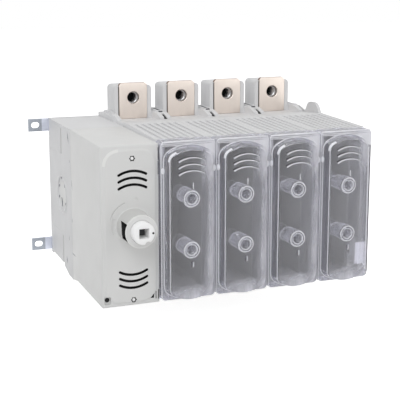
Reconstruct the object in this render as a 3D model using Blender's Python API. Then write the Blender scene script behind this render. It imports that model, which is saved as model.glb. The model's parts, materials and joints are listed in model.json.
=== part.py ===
"""Four-pole fuse switch disconnector with a side mechanism and clear hinged fuse covers.

Metres, +Z up, the front looks along -Y and the back mounting plane is Y = 0.
X = 0 is the middle of the second pole and Z = 0 the middle of the height.
"""
from math import asin, cos, pi, radians, sin, tan

import bmesh
import bpy
from mathutils import Vector

# General fits
CLEARANCE = 0.0003
CUT = 0.003
WELD = 0.000004

# Row of poles
POLE_COUNT = 4
POLE_PITCH = 0.060
FIRST_POLE_X = -0.060
MODULE_GAP = 0.0003
WALL = 0.0028

# Pole base, the rear moulding
BASE_DEPTH = 0.080
BASE_HALF_HEIGHT = 0.089
BASE_REAR_HALF_HEIGHT = 0.085
BASE_REAR_STEP = 0.024
BASE_RIM_HALF_HEIGHT = 0.0835
BASE_RIM_LENGTH = 0.004
SHELF_END = 0.060
SHELF_SHOULDER = 0.0665
SHELF_SHOULDER_DROP = 0.0012
SHELF_FOOT_STEP = 0.0016
BASE_CAVITY_HALF_HEIGHT = 0.0795
BASE_BACK_WALL = 0.0035
BARRIER_SLOT_WIDTH = 0.003
BARRIER_SLOT_LENGTH = 0.016
BARRIER_SLOT_DEPTH = 0.0075
CLIP_LENGTH = 0.032
CLIP_WIDTH = 0.009
CLIP_RISE = 0.0016
CLIP_CENTRE = 0.042
CLIP_SLOT_WIDTH = 0.004
CLIP_SLOT_DEPTH = 0.0036

# Terminals and their moulded blocks
TERMINAL_WIDTH = 0.0342
TERMINAL_THICKNESS = 0.005
TERMINAL_FRONT = 0.0474
TERMINAL_TOP = 0.1235
TERMINAL_END = 0.045
TERMINAL_CHAMFER = 0.0025
TERMINAL_PAD_RISE = 0.0005
TERMINAL_RECESS_WIDTH = 0.046
TERMINAL_RECESS_FLOOR = 0.0813
TERMINAL_HOLE_Z = 0.106
TERMINAL_HOLE_RADIUS = 0.0072
BLOCK_WIDTH = 0.0455
BLOCK_FRONT = 0.0462
BLOCK_BACK = 0.016
BLOCK_TOP = 0.1205
BLOCK_CORNER = 0.0045
BLOCK_HOLE_DEPTH = 0.018

# Fuse chamber, the front moulding
CHAMBER_DEPTH = 0.135
CHAMBER_CREST_LENGTH = 0.038
CHAMBER_CREST_HALF_HEIGHT = 0.0865
CHAMBER_FRONT_HALF_HEIGHT = 0.0838
CHAMBER_BACK_WALL = 0.0035
CHAMBER_CAVITY_HALF_HEIGHT = 0.0795
RIB_COUNT = 8
RIB_GROOVE_WIDTH = 0.0034
RIB_GROOVE_FLOOR = 0.0816
RIB_START = 0.125

# Fuse link jaws
JAW_WIDTH = 0.024
JAW_BASE_THICKNESS = 0.0037
JAW_BASE_BOTTOM = 0.024
JAW_BASE_TOP = 0.064
JAW_CHEEK_LENGTH = 0.024
JAW_CHEEK_CENTRE = 0.051
JAW_CHEEK_DEPTH = 0.0385
JAW_CHEEK_THICKNESS = 0.0026
JAW_GAP = 0.0036
JAW_LIP_DEPTH = 0.005
JAW_LIP_FLARE = 0.0022
STEM_WIDTH = 0.018
STEM_HEIGHT = 0.010

# Moving contacts
SWITCH_ANGLE = 90.0
BRIDGE_WIDTH = 0.016
BRIDGE_THICKNESS = 0.003
BRIDGE_BOTTOM = 0.024
BRIDGE_TOP = 0.052
BRIDGE_CORNER = 0.002
ARM_WIDTH = 0.014
ARM_HALF_HEIGHT = 0.054
BAR_BACK = 0.014
BAR_THICKNESS = 0.016
BAR_HALF_HEIGHT = 0.009
BAR_END_SPARE = 0.004

# Clear fuse covers
COVER_WALL = 0.0018
COVER_DEPTH = 0.0167
COVER_SIDE_GAP = 0.0003
COVER_TOP = 0.0838
COVER_BOTTOM = 0.0822
COVER_CORNER = 0.005
WINDOW_RISE = 0.0094
WINDOW_WIDTH = 0.046
WINDOW_DRAFT = 0.0035
WINDOW_TOP = 0.0768
WINDOW_BOTTOM = 0.0803
WINDOW_ARCH_RADIUS = 0.039
PROBE_UPPER_Z = 0.0253
PROBE_LOWER_Z = 0.028
PROBE_OUTER_RADIUS = 0.008
PROBE_BORE_RADIUS = 0.0055
PROBE_TUBE_LENGTH = 0.028
LATCH_WIDTH = 0.011
LATCH_LENGTH = 0.0038
LATCH_THICKNESS = 0.0016

# Cover hinge
HINGE_SETBACK = 0.0033
HINGE_Z = -0.0825
HINGE_ROD_RADIUS = 0.0013
HINGE_KNUCKLE_RADIUS = 0.0028
HINGE_BARREL_HALF_LENGTH = 0.014
HINGE_LUG_LENGTH = 0.0055
HINGE_RELIEF = 0.0034

# Arched slots, shared by the covers and the mechanism's front
ARCH_SLOT_HALF_CHORD = 0.0147
ARCH_SLOT_SAGITTA = 0.0038
ARCH_SLOT_WIDTH = 0.0019
COVER_SLOT_TOP = 0.068
COVER_SLOT_PITCH = 0.0067

# Mechanism module
MECHANISM_WIDTH = 0.0612
MECHANISM_BASE_DEPTH = 0.107
MECHANISM_TOP = 0.082
MECHANISM_REAR_TOP = 0.0805
MECHANISM_BULGE = 0.0888
BULGE_FLAT = 0.019
BULGE_SHOULDER = 0.031
BULGE_SHOULDER_RISE = 0.0026
BULGE_LENGTH = 0.040
MECHANISM_REAR_BOTTOM = 0.084
MECHANISM_BACK_WALL = 0.0055
MECHANISM_WALL = 0.0028
MECHANISM_ROOF = 0.0035
MECHANISM_FRONT_SETBACK = 0.0042
MECHANISM_COVER_SIDE_GAP = 0.0012
MECHANISM_COVER_BOTTOM = 0.0838
MECHANISM_COVER_WALL = 0.0025
MECHANISM_COVER_TAPER = 0.018
MECHANISM_COVER_TAPER_RISE = 0.0016
PANEL_RISE = 0.0012
PANEL_MARGIN = 0.0027
PANEL_TOP = 0.078
PANEL_BOTTOM = 0.0812
PANEL_CORNER = 0.016
UPPER_VENT_TOP = 0.0559
LOWER_VENT_TOP = 0.0509
VENT_PITCH = 0.0069
VENT_COUNT = 3
POCKET_WIDTH = 0.0135
POCKET_LENGTH = 0.066
POCKET_INNER_Z = 0.048

# Spindle, collar and side opening
SPINDLE_INSET = 0.033
SPINDLE_Z = 0.0005
COLLAR_RADIUS = 0.0174
COLLAR_RISE = 0.028
COLLAR_SLOT_HALF_HEIGHT = 0.008
COLLAR_SLOT_FRONT = 0.0014
COLLAR_SLOT_LENGTH = 0.011
BOSS_RADIUS = 0.0117
BOSS_RISE = 0.009
BOSS_LENGTH = 0.026
SOCKET_WIDTH = 0.0098
SOCKET_DEPTH = 0.014
NOTCH_RADIUS = 0.0032
NOTCH_REACH = 0.0118
NOTCH_ANGLE = -70.0
NOTCH_LENGTH = 0.007
DOT_OFFSET = 0.0092
DOT_RADIUS = 0.0012
DOT_DEPTH = 0.003
SHAFT_RADIUS = 0.007
JOURNAL_RADIUS = 0.005
BEARING_RADIUS = 0.009
BEARING_LENGTH = 0.007
BEARING_FLOOR = 0.0032
SPRING_WIRE_RADIUS = 0.0009
SPRING_TURNS = 6
SPRING_PITCH = 0.0026
SPRING_START = 0.060
SIDE_RING_RADIUS = 0.0225
SIDE_RING_WIDTH = 0.002
SIDE_RING_RISE = 0.0007
SIDE_HOLE_RADIUS = 0.0085
SIDE_HOLE_Y = 0.064
SIDE_NOTCH_WIDTH = 0.005
SIDE_NOTCH_REACH = 0.014

# Rack and pinion
GEAR_MODULE = 0.0015
PINION_TEETH = 16
PINION_FACE = 0.014
TOOTH_BACKLASH = 0.0004
TOOTH_TIP = 0.85
TOOTH_ROOT = 1.2
TOOTH_HALF_SHARES = {"root": 0.32, "pitch": 0.225, "tip": 0.11}
RACK_BACK = 0.006
RACK_BOTTOM = 0.034
RACK_TOP = 0.014

# Fasteners, brackets and the end wall
SCREW_UPPER_Z = 0.0685
SCREW_LOWER_Z = -0.0776
SCREW_HEAD_RADIUS = 0.0031
SCREW_HEAD_HEIGHT = 0.0018
SCREW_SHANK_RADIUS = 0.0017
SCREW_LENGTH = 0.013
SCREW_SOCKET = 0.0016
SCREW_POST_RADIUS = 0.0048
END_WALL_THICKNESS = 0.00185
EAR_BASE_FRONT = 0.1165
EAR_BASE_BACK = 0.078
EAR_TOP_FRONT = 0.106
EAR_TOP_BACK = 0.0865
EAR_RISE = 0.0135
EAR_ROOT = 0.0035
TIE_ROD_RADIUS = 0.002
TIE_ROD_Y = -0.0105
TIE_ROD_Z = 0.060
TIE_HEAD_RADIUS = 0.0038
TIE_HEAD_LENGTH = 0.003
BRACKET_THICKNESS = 0.0021
BRACKET_WIDTH = 0.015
BRACKET_Z = 0.0727
BRACKET_REACH = 0.0245
BRACKET_SEAT = 0.030
BRACKET_CORNER = 0.0025
BRACKET_SLOT_LENGTH = 0.0107
BRACKET_SLOT_WIDTH = 0.0078
BRACKET_SLOT_INSET = 0.008
BRACKET_WEB_LENGTH = 0.040

# Planes and places that follow from the sizes
HALF_POLE = (POLE_PITCH - MODULE_GAP) / 2
ROW_LEFT = FIRST_POLE_X - POLE_PITCH / 2
ROW_RIGHT = ROW_LEFT + POLE_COUNT * POLE_PITCH
BASE_FRONT_Y = -BASE_DEPTH
CHAMBER_BACK_Y = BASE_FRONT_Y - CLEARANCE
CHAMBER_FRONT_Y = BASE_FRONT_Y - CHAMBER_DEPTH
CHAMBER_FLOOR_Y = CHAMBER_BACK_Y - CHAMBER_BACK_WALL
COVER_BACK_Y = CHAMBER_FRONT_Y - CLEARANCE
FLANGE_Y = COVER_BACK_Y - COVER_DEPTH
WINDOW_Y = FLANGE_Y - WINDOW_RISE
HINGE_Y = CHAMBER_FRONT_Y - HINGE_SETBACK
TERMINAL_FRONT_Y = -TERMINAL_FRONT
TERMINAL_BACK_Y = TERMINAL_FRONT_Y + TERMINAL_THICKNESS
BRIDGE_FRONT_Y = TERMINAL_BACK_Y + CLEARANCE
BRIDGE_BACK_Y = BRIDGE_FRONT_Y + BRIDGE_THICKNESS
ARM_FRONT_Y = BRIDGE_BACK_Y + CLEARANCE
BAR_BACK_Y = -BAR_BACK
BAR_FRONT_Y = BAR_BACK_Y - BAR_THICKNESS
PITCH_RADIUS = GEAR_MODULE * PINION_TEETH / 2
TRAVEL = PITCH_RADIUS * radians(SWITCH_ANGLE)
MECHANISM_RIGHT = ROW_LEFT - CLEARANCE
MECHANISM_LEFT = MECHANISM_RIGHT - MECHANISM_WIDTH
MECHANISM_FRONT_Y = -MECHANISM_BASE_DEPTH
COVER_BOX_BACK_Y = MECHANISM_FRONT_Y - CLEARANCE
COVER_BOX_FRONT_Y = FLANGE_Y + MECHANISM_FRONT_SETBACK
PANEL_Y = COVER_BOX_FRONT_Y - PANEL_RISE
COLLAR_Y = PANEL_Y - COLLAR_RISE
SPINDLE_Y = COLLAR_Y - BOSS_RISE
SPINDLE_X = MECHANISM_LEFT + SPINDLE_INSET
MECHANISM_COVER_RIGHT = MECHANISM_RIGHT - MECHANISM_COVER_SIDE_GAP
END_WALL_X = ROW_RIGHT - MODULE_GAP / 2 + CLEARANCE
END_WALL_OUTER_X = END_WALL_X + END_WALL_THICKNESS
PINION_BACK_Y = BAR_BACK_Y - CLEARANCE
PINION_FRONT_Y = PINION_BACK_Y - PINION_FACE
RACK_PITCH_X = SPINDLE_X + PITCH_RADIUS
RACK_BACK_X = RACK_PITCH_X + TOOTH_ROOT * GEAR_MODULE + RACK_BACK
ARCH_SLOT_RADIUS = (ARCH_SLOT_HALF_CHORD ** 2 + ARCH_SLOT_SAGITTA ** 2) / (2 * ARCH_SLOT_SAGITTA)
ARCH_SLOT_HALF_ANGLE = asin(ARCH_SLOT_HALF_CHORD / ARCH_SLOT_RADIUS)

PLANES = {
    "x": lambda a, b, along: Vector((along, a, b)),
    "y": lambda a, b, along: Vector((a, along, b)),
    "z": lambda a, b, along: Vector((a, b, along)),
}


def clear_scene():
    """Start from an empty file."""
    for old in list(bpy.data.objects):
        bpy.data.objects.remove(old, do_unlink=True)


def material(name, colour, roughness, metallic=0.0, alpha=1.0, transmission=0.0):
    """A Principled BSDF material with plain values."""
    made = bpy.data.materials.new(name)
    made.use_nodes = True
    shader = made.node_tree.nodes["Principled BSDF"]
    shader.inputs["Base Color"].default_value = (*colour, 1.0)
    shader.inputs["Roughness"].default_value = roughness
    shader.inputs["Metallic"].default_value = metallic
    shader.inputs["Alpha"].default_value = alpha
    shader.inputs["Transmission Weight"].default_value = transmission
    made.diffuse_color = (*colour, alpha)
    return made


def to_mesh(bm, name):
    """Close a bmesh into a mesh with its faces pointing out."""
    bmesh.ops.recalc_face_normals(bm, faces=bm.faces)
    mesh = bpy.data.meshes.new(name)
    bm.to_mesh(mesh)
    bm.free()
    return mesh


def loft(outline_low, low, outline_high, high, axis):
    """A solid between two outlines with as many points each, at two places along an axis."""
    place = PLANES[axis]
    bm = bmesh.new()
    rings = []
    for outline, along in ((outline_low, low), (outline_high, high)):
        verts = [bm.verts.new(place(a, b, along)) for a, b in outline]
        edges = [bm.edges.new((verts[i - 1], verts[i])) for i in range(len(verts))]
        bm.faces.new(verts)
        rings.append(edges)
    bmesh.ops.bridge_loops(bm, edges=rings[0] + rings[1])
    return to_mesh(bm, "loft")


def prism(outline, low, high, axis):
    """A solid of one outline, extruded along an axis from low to high."""
    place = PLANES[axis]
    bm = bmesh.new()
    face = bm.faces.new([bm.verts.new(place(a, b, low)) for a, b in outline])
    extruded = bmesh.ops.extrude_face_region(bm, geom=[face])
    moved = [item for item in extruded["geom"] if isinstance(item, bmesh.types.BMVert)]
    bmesh.ops.translate(bm, vec=place(0.0, 0.0, high - low), verts=moved)
    return to_mesh(bm, "prism")


def block(x_range, y_range, z_range):
    """A box between three pairs of limits."""
    return prism(rectangle(*x_range, *y_range), *z_range, "z")


def cylinder(radius, centre, low, high, axis, segments=24):
    """A round bar along an axis, its centre given by the two other coordinates."""
    return prism(circle(radius, centre, segments), low, high, axis)


def turned(profile, centre, segments=32):
    """A closed profile of (radius, y) turned about a line along Y through centre (x, z)."""
    bm = bmesh.new()
    verts = [bm.verts.new((centre[0] + radius, y, centre[1])) for radius, y in profile]
    edges = [bm.edges.new((verts[i - 1], verts[i])) for i in range(len(verts))]
    middle = Vector((centre[0], 0.0, centre[1]))
    bmesh.ops.spin(bm, geom=verts + edges, cent=middle, axis=(0, 1, 0), angle=2 * pi,
                   steps=segments, use_merge=True)
    bmesh.ops.remove_doubles(bm, verts=bm.verts, dist=0.00001)
    return to_mesh(bm, "turned")


def rectangle(a0, a1, b0, b1):
    return [(a0, b0), (a1, b0), (a1, b1), (a0, b1)]


def circle(radius, centre, segments=24):
    turn = 2 * pi / segments
    return [(centre[0] + radius * cos(turn * i), centre[1] + radius * sin(turn * i)) for i in range(segments)]


def mirrored(points):
    """A half outline from top to middle, and its mirror image below the first axis."""
    return points + [(a, -b) for a, b in reversed(points)]


def rounded(points, radius, steps=3):
    """An outline with each corner replaced by an arc."""
    made = []
    for i, corner in enumerate(points):
        here = Vector(corner)
        before = (Vector(points[i - 1]) - here).normalized()
        after = (Vector(points[(i + 1) % len(points)]) - here).normalized()
        half = before.angle(after) / 2
        centre = here + (before + after).normalized() * (radius / sin(half))
        first = here + before * (radius / tan(half)) - centre
        last = here + after * (radius / tan(half)) - centre
        for step in range(steps + 1):
            spot = first.slerp(last, step / steps).normalized() * radius
            made.append(tuple(centre + spot))
    return made


def obround(length, width, centre, steps=4):
    """A slot with round ends, its length along the first coordinate."""
    straight = (length - width) / 2
    made = []
    for side, start in ((1, -pi / 2), (-1, pi / 2)):
        for i in range(steps + 1):
            angle = start + pi * i / steps
            made.append((centre[0] + side * straight + width / 2 * cos(angle),
                         centre[1] + width / 2 * sin(angle)))
    return made


def arch_slot(centre_x, apex_z, direction=1, steps=7):
    """Outline of one arched slot: direction 1 arches up and -1 arches down."""
    pivot_z = apex_z - direction * (ARCH_SLOT_RADIUS - ARCH_SLOT_WIDTH / 2)
    made = []
    for radius, order in ((ARCH_SLOT_RADIUS, 1), (ARCH_SLOT_RADIUS - ARCH_SLOT_WIDTH, -1)):
        for i in range(steps + 1):
            angle = order * ARCH_SLOT_HALF_ANGLE * (2 * i / steps - 1)
            made.append((centre_x + radius * sin(angle), pivot_z + direction * radius * cos(angle)))
    return made


def window_outline(half_width, top, bottom, radius, steps=6):
    """A tall window with arched ends, seen from the front."""
    half_angle = asin(half_width / radius)
    made = []
    for centre_z, start in ((top - radius, pi / 2 - half_angle), (radius - bottom, 3 * pi / 2 - half_angle)):
        for i in range(steps + 1):
            angle = start + 2 * half_angle * i / steps
            made.append((radius * cos(angle), centre_z + radius * sin(angle)))
    return made


def welded(mesh):
    """The mesh without the hair-thin edges that a Boolean can leave."""
    bm = bmesh.new()
    bm.from_mesh(mesh)
    bmesh.ops.remove_doubles(bm, verts=bm.verts, dist=WELD)
    bmesh.ops.dissolve_degenerate(bm, edges=bm.edges, dist=WELD)
    bm.to_mesh(mesh)
    bm.free()
    return mesh


def shaped(base, joined=(), cut=()):
    """The mesh of base after an exact Boolean union and difference with each given mesh."""
    body = bpy.data.objects.new("body", base)
    bpy.context.collection.objects.link(body)
    helpers = []
    for operation, meshes in (("UNION", joined), ("DIFFERENCE", cut)):
        for mesh in meshes:
            helper = bpy.data.objects.new("cutter", mesh)
            helper.hide_render = True
            helper.display_type = "WIRE"
            bpy.context.collection.objects.link(helper)
            helpers.append(helper)
            boolean = body.modifiers.new(operation.lower(), "BOOLEAN")
            boolean.operation = operation
            boolean.object = helper
    graph = bpy.context.evaluated_depsgraph_get()
    mesh = bpy.data.meshes.new_from_object(body.evaluated_get(graph))
    for helper in helpers + [body]:
        bpy.data.objects.remove(helper, do_unlink=True)
    return welded(mesh)


def place(name, mesh, finish, location=(0, 0, 0), turn=0.0, parent=None, smooth=30.0):
    """One named sub-part. Its mesh may be shared with the other copies of it."""
    if not mesh.materials:
        mesh.materials.append(finish)
    if mesh.users == 0:
        mesh.name = name
    mesh.shade_smooth()
    mesh.set_sharp_from_angle(angle=radians(smooth))
    made = bpy.data.objects.new(name, mesh)
    made.location = location
    made.rotation_euler = (0.0, turn, 0.0)
    bpy.context.collection.objects.link(made)
    if parent is not None:
        made.parent = parent
        made.location = Vector(location) - parent.location
    return made


def pivot(name, location):
    """An empty on a joint's axis, which carries what moves with it."""
    made = bpy.data.objects.new(name, None)
    made.location = location
    bpy.context.collection.objects.link(made)
    return made


def both_ways(maker):
    """What maker gives for the upper side and for the lower one."""
    return maker(1) + maker(-1)


def z_band(sign, low, high):
    """A range of heights, mirrored to the lower side where sign is -1."""
    return (low, high) if sign > 0 else (-high, -low)


def base_profile():
    """Upper half of a pole's side outline, from the back to the front rim of its base."""
    return [
        (0.0, BASE_REAR_HALF_HEIGHT),
        (-BASE_REAR_STEP, BASE_REAR_HALF_HEIGHT),
        (-BASE_REAR_STEP, BASE_HALF_HEIGHT),
        (-SHELF_END, BASE_HALF_HEIGHT),
        (-SHELF_SHOULDER, BASE_HALF_HEIGHT - SHELF_SHOULDER_DROP),
        (BASE_FRONT_Y + BASE_RIM_LENGTH, BASE_RIM_HALF_HEIGHT + SHELF_FOOT_STEP),
        (BASE_FRONT_Y + BASE_RIM_LENGTH, BASE_RIM_HALF_HEIGHT),
    ]


def pole_base_mesh():
    """Rear moulding of one pole: a tray that opens to the front, with two terminal blocks."""
    body = prism(mirrored(base_profile() + [(BASE_FRONT_Y, BASE_RIM_HALF_HEIGHT)]), -HALF_POLE, HALF_POLE, "x")
    inner = HALF_POLE - WALL
    slot_top = BAR_HALF_HEIGHT + TRAVEL + CLEARANCE
    slot_bottom = -BAR_HALF_HEIGHT - CLEARANCE
    terminal_half = TERMINAL_WIDTH / 2 + CLEARANCE
    recess_half = TERMINAL_RECESS_WIDTH / 2
    cuts = [
        block((-inner, inner), (BASE_FRONT_Y - CUT, -BASE_BACK_WALL),
              (-BASE_CAVITY_HALF_HEIGHT, BASE_CAVITY_HALF_HEIGHT)),
        block((-HALF_POLE - CUT, HALF_POLE + CUT), (BAR_FRONT_Y - CLEARANCE, BAR_BACK_Y + CLEARANCE),
              (slot_bottom, slot_top)),
    ]
    for z in (TIE_ROD_Z, -TIE_ROD_Z):
        cuts.append(cylinder(TIE_ROD_RADIUS + CLEARANCE, (TIE_ROD_Y, z),
                             -HALF_POLE - CUT, HALF_POLE + CUT, "x", 12))
    joined = both_ways(terminal_block) + both_ways(clip_halves)
    for sign in (1, -1):
        cuts.append(block((-terminal_half, terminal_half),
                          (TERMINAL_FRONT_Y, TERMINAL_BACK_Y + CLEARANCE),
                          z_band(sign, BASE_CAVITY_HALF_HEIGHT - CUT, BLOCK_TOP + CUT)))
        cuts.append(block((-recess_half, recess_half), (BASE_FRONT_Y - CUT, -BLOCK_FRONT),
                          z_band(sign, TERMINAL_RECESS_FLOOR, BASE_HALF_HEIGHT + CUT)))
        cuts.append(cylinder(TERMINAL_HOLE_RADIUS, (0.0, sign * TERMINAL_HOLE_Z),
                             TERMINAL_FRONT_Y - CUT, TERMINAL_BACK_Y + BLOCK_HOLE_DEPTH, "y", 16))
        for side in (1, -1):
            cuts.append(barrier_slot(sign, side))
            cuts.append(clip_slot(sign, side))
    return shaped(body, joined, cuts)


def terminal_block(sign):
    """Moulded block behind one terminal, with its top corners rounded off."""
    half = BLOCK_WIDTH / 2
    foot = TERMINAL_RECESS_FLOOR - WALL / 2
    centre_x = half - BLOCK_CORNER
    centre_z = BLOCK_TOP - BLOCK_CORNER
    right = [(half, foot)]
    for angle in (0, pi / 6, pi / 3, pi / 2):
        right.append((centre_x + BLOCK_CORNER * cos(angle), centre_z + BLOCK_CORNER * sin(angle)))
    outline = right + [(-x, z) for x, z in reversed(right)]
    return [prism([(x, sign * z) for x, z in outline], -BLOCK_FRONT, -BLOCK_BACK, "y")]


def clip_halves(sign):
    """Half of the joining clip's seat on each side of the pole: a low rim with round ends."""
    made = []
    for side in (1, -1):
        whole = obround(CLIP_LENGTH, CLIP_WIDTH, (-CLIP_CENTRE, side * HALF_POLE))
        half = [(side * min(side * b, HALF_POLE), a) for a, b in whole]
        made.append(prism(without_repeats(half), *z_band(sign, BASE_HALF_HEIGHT - CUT / 2,
                                                         BASE_HALF_HEIGHT + CLIP_RISE), "z"))
    return made


def without_repeats(points):
    """An outline without the points that a clip at one side has put on a straight line."""
    made = []
    for i, point in enumerate(points):
        before = Vector(points[i - 1])
        after = Vector(points[(i + 1) % len(points)])
        here = Vector(point)
        bend = (here - before).cross(after - here) if (here - before).length > 0.00001 else 0.0
        if abs(bend) > 1e-12:
            made.append(point)
    return made


def clip_slot(sign, side):
    """The long slot in the middle of a joining clip's seat."""
    length = CLIP_LENGTH - (CLIP_WIDTH - CLIP_SLOT_WIDTH)
    top = BASE_HALF_HEIGHT + CLIP_RISE
    outline = [(b, a) for a, b in obround(length, CLIP_SLOT_WIDTH, (-CLIP_CENTRE, side * HALF_POLE))]
    return prism(outline, *z_band(sign, top - CLIP_SLOT_DEPTH, top + CUT), "z")


def barrier_slot(sign, side):
    """Slot at the pole's edge that takes a phase barrier."""
    edge = side * HALF_POLE
    x_range = sorted((edge - side * BARRIER_SLOT_WIDTH / 2, edge + side * CUT))
    return block(x_range, (BASE_FRONT_Y - CUT, BASE_FRONT_Y + BARRIER_SLOT_LENGTH),
                 z_band(sign, BASE_HALF_HEIGHT - BARRIER_SLOT_DEPTH, BASE_HALF_HEIGHT + CUT))


def chamber_outline():
    """Side outline of a fuse chamber: it rises to a crest and falls to the front rim."""
    return mirrored([
        (CHAMBER_BACK_Y, BASE_RIM_HALF_HEIGHT),
        (CHAMBER_BACK_Y - CHAMBER_CREST_LENGTH, CHAMBER_CREST_HALF_HEIGHT),
        (CHAMBER_FRONT_Y, CHAMBER_FRONT_HALF_HEIGHT),
    ])


def chamber_mesh():
    """Front moulding of one pole: a deep chamber for the fuse link, ribbed above and below."""
    body = prism(chamber_outline(), -HALF_POLE, HALF_POLE, "x")
    inner = HALF_POLE - WALL
    cuts = [block((-inner, inner), (CHAMBER_FRONT_Y - CUT, CHAMBER_FLOOR_Y),
                  (-CHAMBER_CAVITY_HALF_HEIGHT, CHAMBER_CAVITY_HALF_HEIGHT))]
    stem_half = STEM_WIDTH / 2 + CLEARANCE
    for sign in (1, -1):
        cuts.append(block((-stem_half, stem_half), (CHAMBER_FLOOR_Y - CUT, CHAMBER_BACK_Y + CUT),
                          z_band(sign, JAW_BASE_BOTTOM - CLEARANCE, JAW_BASE_BOTTOM + STEM_HEIGHT + CLEARANCE)))
        for i in range(1, RIB_COUNT):
            middle = -POLE_PITCH / 2 + i * POLE_PITCH / RIB_COUNT
            cuts.append(block((middle - RIB_GROOVE_WIDTH / 2, middle + RIB_GROOVE_WIDTH / 2),
                              (CHAMBER_FRONT_Y - CUT, -RIB_START),
                              z_band(sign, RIB_GROOVE_FLOOR, CHAMBER_CREST_HALF_HEIGHT + CUT)))
    catch_half = LATCH_WIDTH / 2 + CLEARANCE
    cuts.append(block((-catch_half, catch_half),
                      (CHAMBER_FRONT_Y - CUT, COVER_BACK_Y + LATCH_LENGTH + CLEARANCE),
                      (COVER_TOP - LATCH_THICKNESS - CLEARANCE, CHAMBER_CREST_HALF_HEIGHT + CUT)))
    cuts.append(hinge_bore(HALF_POLE))
    return shaped(body, hinge_lugs(), cuts)


def hinge_lugs():
    """Two lugs under the front rim that carry the cover's hinge rod."""
    root_y = CHAMBER_FRONT_Y + CUT
    round_end = [(HINGE_Y + HINGE_KNUCKLE_RADIUS * cos(angle), HINGE_Z + HINGE_KNUCKLE_RADIUS * sin(angle))
                 for angle in [pi / 2 + pi * i / 8 for i in range(9)]]
    outline = round_end + [(root_y, HINGE_Z - HINGE_KNUCKLE_RADIUS / 2),
                           (root_y, HINGE_Z + HINGE_KNUCKLE_RADIUS)]
    start = HINGE_BARREL_HALF_LENGTH + CLEARANCE
    return [prism(outline, *sorted((side * start, side * (start + HINGE_LUG_LENGTH))), "x") for side in (1, -1)]


def hinge_bore(half_length):
    return cylinder(HINGE_ROD_RADIUS + CLEARANCE, (HINGE_Y, HINGE_Z),
                    -half_length - CUT, half_length + CUT, "x", 12)


def cover_mesh():
    """One clear fuse cover: a shell with a raised arched window, two probe tubes and three slots."""
    half = POLE_PITCH / 2 - COVER_SIDE_GAP
    window_half = WINDOW_WIDTH / 2
    radius = WINDOW_ARCH_RADIUS
    wall = COVER_WALL
    shell = prism(rounded(rectangle(-half, half, -COVER_BOTTOM, COVER_TOP), COVER_CORNER),
                  FLANGE_Y, COVER_BACK_Y, "y")
    face = window_outline(window_half, WINDOW_TOP, WINDOW_BOTTOM, radius)
    foot = window_outline(window_half + WINDOW_DRAFT, WINDOW_TOP + WINDOW_DRAFT,
                          WINDOW_BOTTOM + WINDOW_DRAFT / 4, radius + WINDOW_DRAFT)
    joined = [loft(face, WINDOW_Y, foot, FLANGE_Y + wall / 2, "y")]
    inner_face = window_outline(window_half - wall, WINDOW_TOP - wall, WINDOW_BOTTOM - wall, radius - wall)
    inner_foot = window_outline(window_half + WINDOW_DRAFT - wall, WINDOW_TOP + WINDOW_DRAFT - wall,
                                WINDOW_BOTTOM + WINDOW_DRAFT / 4 - wall, radius + WINDOW_DRAFT - wall)
    hollow = [
        prism(rounded(rectangle(-half + wall, half - wall, -COVER_BOTTOM + wall, COVER_TOP - wall),
                      COVER_CORNER - wall), FLANGE_Y + wall, COVER_BACK_Y + CUT, "y"),
        loft(inner_face, WINDOW_Y + wall, inner_foot, FLANGE_Y + 2 * wall, "y"),
    ]
    shell = shaped(shell, joined, hollow)
    added = [cylinder(HINGE_KNUCKLE_RADIUS, (HINGE_Y, HINGE_Z), -HINGE_BARREL_HALF_LENGTH,
                      HINGE_BARREL_HALF_LENGTH, "x", 16)]
    added.append(block((-LATCH_WIDTH / 2, LATCH_WIDTH / 2), (FLANGE_Y + wall / 2, COVER_BACK_Y + LATCH_LENGTH),
                       (COVER_TOP - LATCH_THICKNESS, COVER_TOP - wall / 8)))
    holes = [hinge_bore(HINGE_BARREL_HALF_LENGTH)]
    for z in (PROBE_UPPER_Z, -PROBE_LOWER_Z):
        tube_end = WINDOW_Y + PROBE_TUBE_LENGTH
        added.append(cylinder(PROBE_OUTER_RADIUS, (0.0, z), WINDOW_Y + wall / 2, tube_end, "y", 16))
        holes.append(cylinder(PROBE_BORE_RADIUS, (0.0, z), WINDOW_Y - CUT, tube_end + CUT, "y", 16))
    for i in range(VENT_COUNT):
        holes.append(prism(arch_slot(0.0, COVER_SLOT_TOP - i * COVER_SLOT_PITCH), WINDOW_Y - CUT,
                           WINDOW_Y + wall + CUT / 3, "y"))
    for side in (1, -1):
        x_range = sorted((side * (HINGE_BARREL_HALF_LENGTH + CLEARANCE), side * (half + CUT)))
        holes.append(block(x_range, (HINGE_Y - HINGE_RELIEF, COVER_BACK_Y + CUT),
                           (HINGE_Z - HINGE_RELIEF - CUT, HINGE_Z + HINGE_RELIEF)))
    return shaped(shell, added, holes)


def terminal_mesh():
    """Flat terminal bar with cut corners and a bolt hole, reaching down to the switch contact."""
    half = TERMINAL_WIDTH / 2
    pad_end = TERMINAL_RECESS_FLOOR + CLEARANCE
    outline = [(-half, pad_end), (half, pad_end), (half, TERMINAL_TOP - TERMINAL_CHAMFER),
               (half - TERMINAL_CHAMFER, TERMINAL_TOP), (-half + TERMINAL_CHAMFER, TERMINAL_TOP),
               (-half, TERMINAL_TOP - TERMINAL_CHAMFER)]
    pad = prism(outline, TERMINAL_FRONT_Y, TERMINAL_BACK_Y, "y")
    bar = block((-half, half), (TERMINAL_FRONT_Y + TERMINAL_PAD_RISE, TERMINAL_BACK_Y),
                (TERMINAL_END, pad_end + TERMINAL_CHAMFER))
    hole = cylinder(TERMINAL_HOLE_RADIUS, (0.0, TERMINAL_HOLE_Z), TERMINAL_FRONT_Y - CUT, TERMINAL_BACK_Y + CUT,
                    "y", 16)
    return shaped(pad, [bar], [hole])


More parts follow.
